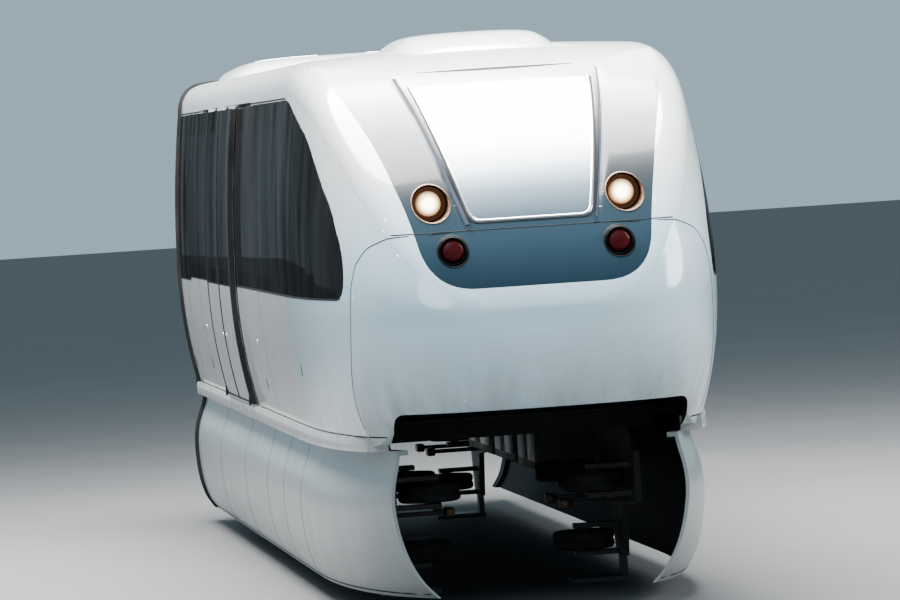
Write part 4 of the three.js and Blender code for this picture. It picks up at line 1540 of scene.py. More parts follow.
@dataclass
class Bellows:
    """Folded rubber gangway band round the car's rear end; the shares are a fold's steps into its valley."""

    front: float = -5.2506
    length: float = 0.219
    folds: int = 5
    inset: float = -0.015
    valley: float = 0.03
    thick: float = 0.079
    ledge: Pair = (1.22, 0.104)
    body_from: float = 0.15
    shares: tuple[float, ...] = (0.0, 0.15, 1.0, 0.85)

    def outline(self, inset: float) -> list[Pair]:
        """Half of the band's outline, from the skirt's foot to the crest.

        Args:
            inset: how far it lies inside the body's outside.

        Returns:
            Points as y, z.
        """
        skirt = [(y - inset, z) for z, y in reversed(Skirts().outside())]
        angle, radius = FORM.section(-inset)
        y, z = radius * np.cos(angle), radius * np.sin(angle) + FORM.centre_z
        body = [(float(a), float(b)) for a, b in zip(y[::-1], z[::-1]) if b > self.body_from][::3][::-1]
        return [*skirt, (self.ledge[0] - inset, self.ledge[1]), *body]

    def build(self) -> None:
        """Makes the folds, deep between and proud at each rib."""
        inner = self.outline(self.inset + self.thick)
        rings = []
        steps = self.folds * len(self.shares)
        for step in range(steps + 1):
            outer = self.outline(self.inset + self.valley * self.shares[step % len(self.shares)])
            x = self.front - self.length * step / steps
            ring = [*outer, *[(-y, z) for y, z in reversed(outer[:-1])], *[(-y, z) for y, z in inner],
                    *reversed(inner[:-1])]
            rings.append([(x, y, z) for y, z in ring])
        Shape().lofted(rings).piece("gangway_bellows", BODY, RUBBER, Slot.RUBBER, ["end_band"], 50.0)


@dataclass
class RoofFairings:
    """Smooth equipment fairings that rise out of the roof.

    The rows give a name, half width, rise and a profile of x and height above the crest; across
    gives the section as shares of the half width and the rise.
    """

    rows: tuple[tuple[str, float, float, tuple[Pair, ...]], ...] = (
        ("rear", 0.93, 0.12, ((-5.245, 0.118), (-4.4, 0.118), (-4.1, 0.104), (-3.85, 0.069), (-3.68, 0.02),
                                (-3.56, -0.038))),
        ("front", 0.52, 0.093, ((2.26, -0.032), (2.4, 0.02), (2.7, 0.07), (3.05, 0.091), (3.65, 0.091),
                                 (3.95, 0.069), (4.2, 0.005), (4.44, -0.095))),
    )
    across: tuple[Pair, ...] = (
        (1.0, -0.3), (0.95, 0.15), (0.86, 0.52), (0.74, 0.82), (0.5, 0.95), (0.25, 0.995), (0.0, 1.0),
    )
    low: float = 0.012
    slots_at: Pair = (-5.05, -4.44)
    slot_pitch: float = 0.06
    slot_y: float = 0.42
    slot_half: float = 0.22

    def build(self, skin: Skin) -> None:
        """Makes both fairings.

        Args:
            skin: the roof that they stand on.
        """
        shares = smooth_line(self.across, 4)
        for name, half, rise, profile in self.rows:
            rings = []
            for x, up in smooth_line(profile, 7):
                scale = np.clip((up + 0.04) / (rise + 0.04), 0.02, 1.0)
                arc = [(half * share, FORM.crest_z + up - rise * (1.0 - height) * scale**0.35)
                       for share, height in shares]
                ring = []
                for y, z in [*arc, *[(-y, z) for y, z in reversed(arc[:-1])]]:
                    roof = skin.above([(x, y)])
                    ring.append((x, y, max(z, roof[0][0].z - self.low) if roof else z))
                base = min(p[2] for p in ring) - self.low
                rings.append([*ring, (x, -half * 0.97, base), (x, half * 0.97, base)])
            fairing = Shape().lofted(rings)
            made = fairing.piece(f"fairing_{name}", BODY, WHITE, Slot.WHITE, [f"roof_fairing_{name}"], 55.0)
            if name == "rear":
                self.grilles(Skin([made]))

    def grilles(self, skin: Skin) -> None:
        """Air intakes on the rear fairing: dark beds with white slats.

        Args:
            skin: the fairing.
        """
        beds, slats = Shape(), Shape()
        for y in (-self.slot_y, self.slot_y):
            low, high = y - self.slot_half, y + self.slot_half
            for x in np.arange(*self.slots_at, self.slot_pitch):
                beds.swept(skin.above(between((x, low), (x, high), 6)), bead(0.016, 0.0015, 0.003))
                slat = x + 0.026
                slats.swept(skin.above(between((slat, low), (slat, high), 6)), bead(0.007, 0.005))
        beds.piece("fairing_grille_slots", BODY, BLACK, Slot.DARK)
        slats.piece("fairing_grille_slats", BODY, WHITE, Slot.WHITE)


@dataclass
class NoseTrim:
    """Joints, screen frame, strips of painted shade in the creases and lamps of the nose.

    The panel line gives corners as x, z with how far each is cut back; the screen its lower and
    upper corner as y, z; the slot its half width and its height at the middle and the ends. The
    lamps give x, y, z and radius; the crease shade lines their side, half width and height.
    """

    skin: Skin
    panel_line: tuple[Point, ...] = (
        (5.801, 0.15, 0.0), (5.805, 0.33, 0.15), (6.04, 0.76, 0.15), (6.13, 1.366, 0.3),
        (6.3, 1.366, 0.0),
    )
    seam_z: float = 1.366
    screen: tuple[Pair, Pair] = ((0.358, 1.425), (0.556, 2.262))
    slot: Point = (0.5, 2.351, 2.349)
    head: tuple[float, float, float, float] = (6.05, 0.594, 1.54, 0.115)
    tail: tuple[float, float, float, float] = (6.44, 0.507, 1.25, 0.092)
    crease_shade_lines: tuple[tuple[int, float, float], ...] = ((-1, 0.013, 0.004), (1, 0.005, 0.0018))
    crease_shade_span: Pair = (1.4, 2.32)
    shell: tuple[Pair, ...] = (
        (0.2, -0.178), (0.72, -0.178), (0.98, -0.09), (0.98, 0.0), (0.9, 0.008), (0.84, 0.0), (0.7, -0.045),
        (0.2, -0.06), (0.2, -0.178),
    )

    def seams(self) -> None:
        """The thin dark lines round the lower panel and above the screen."""
        lines = Shape()
        path = [(x - 0.002, z + 0.0015) for x, z in along_line(rounded(self.panel_line), 0.012)]
        for sign in SIDES.values():
            side = self.skin.side(path, sign)
            lines.swept(side, bead(0.0036, 0.0016))
        edge = abs(side[-1][0].y)
        lines.swept(self.skin.ahead(between((-edge, self.seam_z), (edge, self.seam_z), 120)), bead(0.0036, 0.0014))
        half, low, high = self.slot
        slot = [(y, high + (low - high) * (y / half) ** 2) for y, in between((-half,), (half,), 24)]
        lines.swept(self.skin.ahead(slot), bead(0.0045, 0.0012), swell=5.0)
        lines.piece("nose_panel_joints", BODY, BLACK, Slot.RUBBER)

    def screen_frame(self) -> None:
        """A bright bead on a dark gasket down the windshield's sides and along its foot."""
        (low_y, low_z), (top_y, top_z) = self.screen
        for name, out, section, finish, slot in (
            ("bead", 0.004, bead(0.009, 0.006), BRIGHT, Slot.SILVER),
            ("gasket", 0.018, bead(0.006, 0.003), RUBBER, Slot.RUBBER),
        ):
            corners = ((-top_y - out, top_z, 0.0), (-low_y - out, low_z - out, 0.06),
                       (low_y + out, low_z - out, 0.06), (top_y + out, top_z, 0.0))
            path = self.skin.ahead(along_line(rounded(corners), 0.05))
            Shape().swept(path, section).piece(f"screen_frame_{name}", BODY, finish, slot)

    def crease_shade_strips(self) -> None:
        """Dark strips of painted shade at the bottom of the creases beside the screen, the right one broader."""
        lines = Shape()
        for side, half, lift in self.crease_shade_lines:
            path = [(side * FOLD.middle(z), z) for z in np.linspace(*self.crease_shade_span, 36)]
            lines.swept(self.skin.ahead(path), bead(half, lift))
        lines.piece("mask_crease_shade_strips", BODY, CREASE_SHADE_STRIP, Slot.DARK)

    def lamps(self) -> None:
        """Lit headlamps and dark red tail lamps in their tunnels."""
        kinds = (("headlamp", self.head, COPPER, HEADLIGHT, COPPER, Slot.HEADLAMP, 0.66),
                 ("tail_lamp", self.tail, BLACK, TAIL, LAMP_RING, Slot.TAIL_LAMP, 0.7))
        for side, sign in SIDES.items():
            for kind, (x, y, z, radius), bowl, lens, rim, slot, share in kinds:
                name = f"{kind}_{side}"
                centre = (x, sign * y, z)
                shell = [(radius * r, h) for r, h in self.shell]
                Shape().turned(shell, "X", centre).piece(f"{name}_bowl", BODY, bowl, slot, [name])
                wide = radius * share
                dome = [(wide * math.sin(a), 0.02 * math.cos(a)) for a in np.linspace(0, math.pi / 2, 7)]
                face = [(1e-5, dome[0][1]), *dome[1:], (wide, -0.04), (1e-5, -0.04)]
                Shape().turned(face, "X", centre, 40).piece(f"{name}_lens", BODY, lens, slot)
                self.tunnel(f"{name}_tunnel", centre, radius, rim)

    def tunnel(self, name: str, centre: Point, radius: float, finish: Finish) -> None:
        """Lines the hole ahead of a lamp and rims its mouth.

        Args:
            name: the piece's name.
            centre: middle of the lamp's face.
            radius: the lamp's radius.
            finish: the lining's finish.
        """
        x, y, z = centre
        wide = radius + 0.01
        rim = ((-0.001, 0.001, -0.01), (0.002, 0.005, -0.008), (0.006, 0.0035, -0.004), (0.008, -0.003, -0.002),
               (0.0005, -0.006, -0.01))
        rings = []
        for angle in np.linspace(0, math.tau, 65)[:-1]:
            dy, dz = math.cos(angle), math.sin(angle)
            place, normal = self.skin.ahead([(y + dy * wide, z + dz * wide)])[0]
            lean = -normal.y * dy / normal.x - normal.z * dz / normal.x
            section = [(-0.001, x - 0.01), *((r, place.x + out + lean * in_) for r, out, in_ in rim),
                       (0.0005, x - 0.01)]
            rings.append([(h, y + dy * (radius + r), z + dz * (radius + r)) for r, h in section])
        Shape().lofted(rings, True).piece(name, BODY, finish, Slot.DARK, smooth=50.0)

    def build(self) -> None:
        """Makes all the nose's trim."""
        self.seams()
        self.screen_frame()
        self.crease_shade_strips()
        self.lamps()


@dataclass
class SideTrim:
    """Seals, joints, sills and small fittings of the sides; thin where the doors slide past.

    Level and upright lines are rows of both ends as x, z, the spacing, half width and height.
    """

    skin: Skin
    band_edge: tuple[Point, ...] = (
        (0.1, 0.99, 0.0), (5.985, 0.99, 0.14), (5.965, 1.24, 0.11), (5.7, 1.535, 0.15),
        (5.0, 1.98, 0.22), (4.15, 2.217, 0.15), (3.85, 2.24, 0.0),
    )
    seal_lines: tuple[tuple[Pair, Pair, float, float, float], ...] = (
        ((-4.17, 0.9885), (-2.0, 0.9885), 0.2, 0.004, 0.0012), ((-5.24, 0.9635), (-4.22, 0.9635), 0.2, 0.004, 0.0012),
        ((-5.24, 2.2515), (-3.16, 2.2515), 0.2, 0.006, 0.0015), ((1.26, 2.2515), (3.86, 2.2515), 0.2, 0.006, 0.0015),
        *(((x, 0.16), (x, 2.235 if x < 3.85 else 2.2), 0.1, 0.0028, 0.0009) for x in (-4.58, -3.41, 1.85, 3.9)),
        *(((x, 0.16), (x, 2.2), 0.1, 0.016, 0.0016) for x in (-1.975, 0.075)),
    )
    sill_lines: tuple[tuple[Pair, Pair, float, float, float], ...] = (
        ((-5.24, 0.1385), (-2.1, 0.1385), 0.3, 0.005, 0.0012), ((0.2, 0.1385), (5.79, 0.1385), 0.1, 0.005, 0.0012),
        ((5.81, 0.1385), (6.06, 0.1385), 0.04, 0.005, 0.002),
    )
    sill_rear: float = -5.249
    sill_bend: float = 3.45
    sill_fade: float = 5.2
    sill_front: float = 5.7845
    sill_y: Point = (1.062, 1.24, 0.045)
    sill_z: Pair = (0.0465, 0.1345)
    plates: tuple[Pair, ...] = ((-5.12, 0.3), (-3.32, 0.34), (1.42, 0.34), (4.3, 0.52))
    locks: tuple[Pair, ...] = ((-3.18, 0.62), (1.3, 0.62))

    def drawn(self, lines: Shape, rows: Iterable[tuple[Pair, Pair, float, float, float]], sign: int) -> None:
        """Adds straight strips to a shape."""
        for start, end, spacing, half, high in rows:
            lines.swept(self.skin.line([start, end], sign, spacing), bead(half, high))

    def seals(self) -> None:
        """Black edging of the glass bands and thin joints of the walls."""
        lines = Shape()
        for sign in SIDES.values():
            lines.swept(self.skin.line(rounded(self.band_edge), sign, 0.08), bead(0.006, 0.002))
            self.drawn(lines, self.seal_lines, sign)
        lines.piece("side_seals", BODY, RUBBER, Slot.RUBBER)

    def sills(self) -> None:
        """Painted cap of the ledge between body and skirt, with a dark joint above it."""
        low, high = self.sill_z
        for side, sign in SIDES.items():
            rings = []
            for x in [self.sill_rear, *np.linspace(self.sill_bend, self.sill_front, 42)]:
                taper = FORM.base_taper(x)
                fade = max((x - self.sill_fade) / (self.sill_front - self.sill_fade), 0.0) ** 2
                near, away = self.sill_y[0] * taper, (self.sill_y[1] - self.sill_y[2] * fade) * taper
                section = ((near, high), (away, high), (away, low), (near, low), (near, low - 0.0025),
                           (away + 0.0015, low - 0.0025), (away + 0.004, 0.06), (away + 0.004, 0.126),
                           (away - 0.004, high + 0.002), (near, high + 0.002))
                rings.append([(x, sign * y, z) for y, z in section])
            cap = Shape().lofted(rings)
            cap.side_slab(sign, (self.sill_front + 0.001, self.sill_front + 0.004), (0.905, 1.04), (low, 0.1335))
            cap.piece(f"sill_{side}_cap", BODY, SILL, Slot.FRAME, smooth=50.0)
        lines = Shape()
        for sign in SIDES.values():
            self.drawn(lines, self.sill_lines, sign)
        lines.piece("sill_joint_lines", BODY, RUBBER, Slot.RUBBER)

    def fittings(self) -> None:
        """Door release locks, jacking covers and the small black plates low on the walls."""
        plates, locks = Shape(), Shape()
        for sign in SIDES.values():
            for x, z in self.plates:
                plates.swept(self.skin.side([(x, z - 0.035), (x, z), (x, z + 0.035)], sign), bead(0.018, 0.0022))
            for place, out in self.skin.side(self.locks, sign):
                locks.rod(place - out * 0.004, place + out * 0.0022, 0.024, 24)
        plates.piece("side_wall_plates", BODY, BLACK, Slot.DARK)
        locks.piece("door_release_locks", BODY, ALUMINIUM, Slot.FRAME)

    def build(self) -> None:
        """Makes all of it."""
        self.seals()
        self.sills()
        self.fittings()


@dataclass
class DoorTrim:
    """Rubber nosings, guide shoes, glazing lines and a lock on the sliding leaves."""

    panels: dict[str, bpy.types.Object]
    seam: float = -0.95
    width: float = 1.05
    low: float = 0.152
    top: float = 2.228
    nosing: float = 0.004
    nosing_out: Pair = (0.0095, 0.0445)
    glazing_z: float = 0.9885
    foot_z: float = 0.165
    lock: Pair = (0.16, 0.62)

    def build(self) -> None:
        """Makes each leaf's trim, which slides with it."""
        for side, sign in SIDES.items():
            for end, way in ENDS.items():
                self.leaf(f"{side}_{end}", sign, way)

    def leaf(self, name: str, sign: int, way: int) -> None:
        """Makes one leaf's trim.

        Args:
            name: the leaf's side and end.
            sign: 1 for the left side, -1 for the right.
            way: 1 for the front leaf, -1 for the rear one.
        """
        body = f"door_{name}"
        skin = Skin([self.panels[f"door_leaf_{name}"], self.panels[f"door_glass_{name}"]])
        outer_x = self.seam + way * (self.width - 0.03)
        inner_x = self.seam + way * 0.016
        trim = Shape()
        for x, half in ((outer_x, 0.026), (inner_x, 0.01)):
            trim.swept(skin.line([(x, self.low), (x, self.top)], sign, 0.06), bead(half, 0.0045))
        end_x = self.seam + way * self.width
        near, away = end_x - way * 0.002, end_x + way * self.nosing
        inside, outside = self.nosing_out
        rings = []
        for z in np.linspace(self.low - 0.004, self.top + 0.004, 30):
            wall = float(FORM.side_y(np.array(z)))
            section = ((near, inside), (away, inside), (away, outside), (near, outside))
            rings.append([(x, sign * (wall + out), z) for x, out in section])
        trim.lofted(rings)
        rear, front = sorted((inner_x, outer_x))
        for z, half, lift in ((self.glazing_z, 0.0035, 0.0012), (self.foot_z, 0.008, 0.003)):
            trim.swept(skin.line([(rear, z), (front, z)], sign, 0.1), bead(half, lift))
        for place, _ in skin.side([(outer_x, 0.19)], sign):
            out = (abs(place.y), abs(place.y) + 0.012)
            trim.side_slab(sign, (place.x - 0.03, place.x + 0.024), out, (0.142, 0.215), 0.004)
        trim.piece(f"{body}_seals", body, RUBBER, Slot.RUBBER)
        lock = Shape()
        for place, out in skin.side([(self.seam + way * self.lock[0], self.lock[1])], sign):
            lock.rod(place - out * 0.003, place + out * 0.003, 0.016, 20)
        lock.piece(f"{body}_lock", body, ALUMINIUM, Slot.FRAME)


@dataclass
class RunningGear:
    """Tyres, hubs, bolts, springs and shoes of one bogie.

    Profiles are pairs of a radius and a place along the axle; nuts and bolts are rows of their
    circle's radius, their number, both their ends and their own radius.
    """

    end: str
    centre: float
    axle_z: float = 0.42
    radius: float = 0.42
    half: float = 0.19
    tyre_bead: float = 0.2615
    groove_pitch: float = 0.063
    wheel_nuts: tuple[tuple[float, int, Pair, float], ...] = (
        (0.175, 8, (0.058, 0.084), 0.014), (0.242, 16, (0.158, 0.172), 0.008),
    )
    cap_bolts: tuple[float, int, Pair, float] = (0.058, 6, (0.256, 0.27), 0.008)
    axle_cap: tuple[Pair, ...] = ((1e-5, 0.262), (0.07, 0.26), (0.082, 0.25), (0.082, 0.2455), (1e-5, 0.2455))
    spring_y: float = 0.6
    spring: tuple[Pair, ...] = (
        (0.148, 0.044), (0.166, 0.052), (0.17, 0.062), (0.16, 0.074), (0.152, 0.08), (0.16, 0.086), (0.17, 0.098),
        (0.166, 0.11), (0.148, 0.118), (0.148, 0.044),
    )
    small_tyre: tuple[Pair, ...] = (
        (0.128, 0.048), (0.15, 0.056), (0.178, 0.06), (0.192, 0.053), (0.2, 0.04), (0.2, 0.012), (0.194, 0.008),
        (0.194, 0.0),
    )
    small_hub: tuple[Pair, ...] = (
        (0.031, 0.068), (0.066, 0.068), (0.07, 0.05), (0.112, 0.034), (0.118, 0.05), (0.129, 0.05),
    )
    frame_bolts: tuple[Pair, ...] = (
        (-0.52, -0.05), (-0.4, -0.05), (-0.28, -0.05), (0.28, -0.05), (0.4, -0.05), (0.52, -0.05), (-0.7, -0.28),
        (-0.56, -0.36), (0.56, -0.36), (0.7, -0.28), (-0.1, -0.62), (0.1, -0.62),
    )
    frame_side: Pair = (0.798, 0.8085)
    shoe_x: float = 0.36
    side_wheel_y: float = 0.53
    guide_x: float = 0.68
    guide_z: float = -0.3
    stabiliser_z: float = -0.715

    @property
    def bogie(self) -> str:
        """The body that the frame's fittings move with."""
        return f"bogie_{self.end}"

    @property
    def axle(self) -> Point:
        """Middle of the load wheel."""
        return (self.centre, 0.0, self.axle_z)

    def tyre_profile(self) -> list[Pair]:
        """Section of the load tyre with five ribs in its tread.

        Returns:
            The closed outline.
        """
        radius, half, inner = self.radius, self.half, self.tyre_bead
        tread = [(radius - 0.042, -half + 0.002), (radius - 0.01, -half + 0.014)]
        for step in (-2, -1, 0, 1, 2):
            for deep, place in ((0.0, -0.022), (0.0, -0.009), (0.011, -0.007), (0.011, 0.007), (0.0, 0.009),
                                (0.0, 0.022)):
                tread.append((radius - deep, step * self.groove_pitch + place))
        tread += [(radius - 0.01, half - 0.014), (radius - 0.042, half - 0.002)]
        wall = [(radius - 0.06, half), (radius - 0.095, half - 0.001), (inner + 0.03, half - 0.012),
                (inner, half - 0.03)]
        return [*[(r, -h) for r, h in reversed(wall)], *tread, *wall, (inner, -half + 0.03)]

    def load_wheel(self) -> None:
        """Grooved tyre, rim and nuts of the load wheel."""
        tyre, body = f"load_tyre_{self.end}", f"load_wheelset_{self.end}"
        made = Shape().turned(self.tyre_profile(), "Y", self.axle, 72)
        made.piece(f"{tyre}_tread", body, TYRE, Slot.TYRE, [tyre], 30.0)
        nuts = Shape()
        for sign in SIDES.values():
            for pitch, count, span, radius in self.wheel_nuts:
                nuts.bolt_circle(self.axle, "Y", pitch, count, [sign * h for h in span], radius)
        nuts.piece(f"load_wheel_{self.end}_nuts", body, BRIGHT, Slot.STEEL)

    def side_wheel(self, node: str, spot: Point) -> None:
        """Tyre and hub of a guide or stabiliser wheel.

        Args:
            node: the node and body, which share a name.
            spot: its middle.
        """
        tyre, hub = self.small_tyre, self.small_hub
        profile = [*[(r, -h) for r, h in tyre], *[(r, h) for r, h in reversed(tyre[:-1])]]
        core = [*hub, *[(r, -h) for r, h in reversed(hub)], hub[0]]
        wheel = Shape().turned([*profile, profile[0]], "Z", spot, 40).turned(core, "Z", spot, 40)
        wheel.bolt_circle(spot, "Z", 0.09, HEX, (-0.048, 0.048), 0.009)
        rim = tyre[0][0] - 0.001
        hub_faces = Second(STEEL, lambda middle, _: math.hypot(middle.x - spot[0], middle.y - spot[1]) < rim)
        wheel.piece(f"{node}_rolling", node, TYRE, Slot.TYRE, [node], 35.0, hub_faces)

    def frame_fittings(self) -> None:
        """Spring folds, frame bolts, axle caps and collector shoes on the bogie frame."""
        folds, bolts, shoes, plates = Shape(), Shape(), Shape(), Shape()
        pitch, count, span, radius = self.cap_bolts
        for sign in SIDES.values():
            folds.turned(self.spring, "Z", (self.centre, sign * self.spring_y, 0.0), 40)
            plates.turned([(r, sign * h) for r, h in self.axle_cap], "Y", self.axle, 32)
            bolts.bolt_circle(self.axle, "Y", pitch, count, [sign * h for h in span], radius)
            for dx, z in self.frame_bolts:
                bolts.rod(*((self.centre + dx, sign * y, z) for y in self.frame_side), 0.013, HEX)
            for x in (self.centre - self.shoe_x, self.centre + self.shoe_x):
                plates.side_slab(sign, (x - 0.022, x + 0.022), (0.4, 0.765), (-0.47, -0.44), 0.004)
                shoes.side_slab(sign, (x - 0.075, x + 0.075), (0.345, 0.405), (-0.485, -0.425), 0.01)
        folds.piece(f"air_spring_{self.end}_folds", self.bogie, RUBBER, Slot.RUBBER, smooth=60.0)
        bolts.piece(f"bogie_{self.end}_bolts", self.bogie, BRIGHT, Slot.STEEL)
        plates.piece(f"bogie_{self.end}_brackets", self.bogie, STEEL, Slot.STEEL)
        shoes.piece(f"collector_shoes_{self.end}", self.bogie, COPPER, Slot.STEEL)

    def build(self) -> None:
        """Makes the bogie's details."""
        self.load_wheel()
        for side, sign in SIDES.items():
            y = sign * self.side_wheel_y
            for tag, dx in (("a", -self.guide_x), ("b", self.guide_x)):
                self.side_wheel(f"guide_wheel_{self.end}_{side}_{tag}", (self.centre + dx, y, self.guide_z))
            self.side_wheel(f"stabiliser_wheel_{self.end}_{side}", (self.centre, y, self.stabiliser_z))
        self.frame_fittings()


@dataclass
class Cabin:
    """What shows through the glass and the open doors."""

    floor_z: float = 0.18
    bench_ends: Pair = (-3.8, 3.8)
    seat_y: tuple[float, ...] = (-0.73, -0.25, 0.25, 0.73)
    seat_half: float = 0.215
    seat_z: Pair = (0.6305, 0.672)
    back_z: Pair = (0.7, 1.215)
    narrow_from: float = 4.5
    sheets: tuple[tuple[Pair, float], ...] = (((-2.66, 2.66), 1.085), ((4.945, 5.2), 0.84))
    sill_y: Pair = (1.0, 1.098)
    sill_x: Pair = (-1.935, 0.035)
    pole_x: tuple[float, ...] = (-2.35, -1.75, -0.15, 0.45, 2.35)
    pole_y: float = 0.62
    pole_top: float = 2.452
    rail: Pair = (2.6, 1.98)
    grip_x: Point = (-2.1, 2.3, 0.42)
    grip_z: float = 1.752
    desk: tuple[Pair, ...] = (
        (5.5, 0.345), (5.52, 0.98), (5.44, 1.1), (5.5, 1.155), (5.8, 1.235), (6.02, 1.215), (6.1, 1.15),
        (5.98, 0.345),
    )
    knob: tuple[Pair, ...] = ((1e-5, 0.026), (0.02, 0.018), (0.026, 0.0), (0.018, -0.018), (1e-5, -0.024))

    def seats(self) -> None:
        """Cushions and backs on the benches."""
        pads = Shape()
        for middle in self.bench_ends:
            for way in (-1, 1):
                for y in self.seat_y:
                    if middle + way > self.narrow_from and abs(y) > 0.5:
                        continue
                    for near, away, (low, high) in ((0.775, 1.115, self.seat_z), (0.7205, 0.762, self.back_z)):
                        rear, front = sorted((middle + way * near, middle + way * away))
                        pads.slab((rear, y - self.seat_half, low), (front, y + self.seat_half, high), 0.018, 3)
        pads.piece("seat_pads", BODY, CLOTH, Slot.SEAT)

    def floor(self) -> None:
        """Floor covering and ribbed door thresholds."""
        sheet, plates, z = Shape(), Shape(), self.floor_z
        for (rear, front), half in self.sheets:
            sheet.slab((rear, -half, z + 0.0004), (front, half, z + 0.004))
        sheet.piece("floor_covering", BODY, FLOOR, Slot.FRAME)
        rear, front = self.sill_x
        for sign in SIDES.values():
            plates.side_slab(sign, self.sill_x, self.sill_y, (z + 0.0045, z + 0.007), 0.001)
            for y in self.sill_y[0] + 0.012 + np.arange(5) * 0.018:
                plates.side_slab(sign, (rear + 0.01, front - 0.01), (y - 0.003, y + 0.003), (z + 0.0068, z + 0.009))
        plates.piece("door_threshold_plates", BODY, ALUMINIUM, Slot.FRAME)

    def poles(self) -> None:
        """Grab poles, ceiling rails and hanging grips."""
        poles, grips = Shape(), Shape()
        foot = self.floor_z + 0.004
        sides = (-self.pole_y, self.pole_y)
        for x in self.pole_x:
            for y in sides:
                poles.rod((x, y, foot), (x, y, self.pole_top), 0.017, 16)
                poles.rod((x, y, foot), (x, y, foot + 0.01), 0.042, 20)
        half, z = self.rail
        ring = [(0.052 + 0.008 * math.cos(a), 0.008 * math.sin(a)) for a in np.linspace(0, math.tau, 9)]
        for y in sides:
            poles.rod((-half, y, z), (half, y, z), 0.015, 16)
            for x in np.arange(*self.grip_x):
                grips.slab((x - 0.012, y - 0.006, self.grip_z + 0.048), (x + 0.012, y + 0.006, z + 0.005), 0.003)
                grips.turned(ring, "Y", (x, y, self.grip_z), 24)
        poles.piece("grab_poles", BODY, BRIGHT, Slot.FRAME)
        grips.piece("hanging_grips", BODY, BLACK, Slot.DARK)

    def ceiling(self) -> None:
        """Light strips and air grilles under the roof."""
        lights, vents = Shape(), Shape()
        for y in (-0.38, 0.38):
            lights.slab((-4.6, y - 0.07, 2.428), (3.5, y + 0.07, 2.446), 0.006)
        for y in np.arange(9) * 0.03 - 0.12:
            vents.slab((-4.2, y - 0.004, 2.438), (3.2, y + 0.004, 2.452))
        lights.piece("ceiling_light_strips", BODY, CEILING_LIGHT, Slot.SEAT)
        vents.piece("ceiling_air_grille", BODY, BLACK, Slot.DARK)

    def console(self) -> None:
        """Driving console behind the windshield."""
        desk = Shape().lofted([[(x, y, z) for x, z in self.desk] for y in (-0.44, 0.44)])
        desk.soften(desk.bm.edges, 0.018, 3)
        desk.piece("driving_console", BODY, LINING, Slot.DARK)
        parts = Shape()
        for y in (-0.24, 0.0, 0.24):
            parts.slab((5.6, y - 0.095, 1.18), (5.628, y + 0.095, 1.335), 0.006)
        for y in (-0.34, 0.34):
            parts.rod((5.56, y, 1.165), (5.545, y, 1.255), 0.012, 12)
            parts.turned(self.knob, "Z", (5.545, y, 1.268), 20)
        parts.piece("console_screens_and_handles", BODY, BLACK, Slot.DARK)

    def build(self) -> None:
        """Makes the cabin's furniture."""
        self.seats()
        self.floor()
        self.poles()
        self.ceiling()
        self.console()


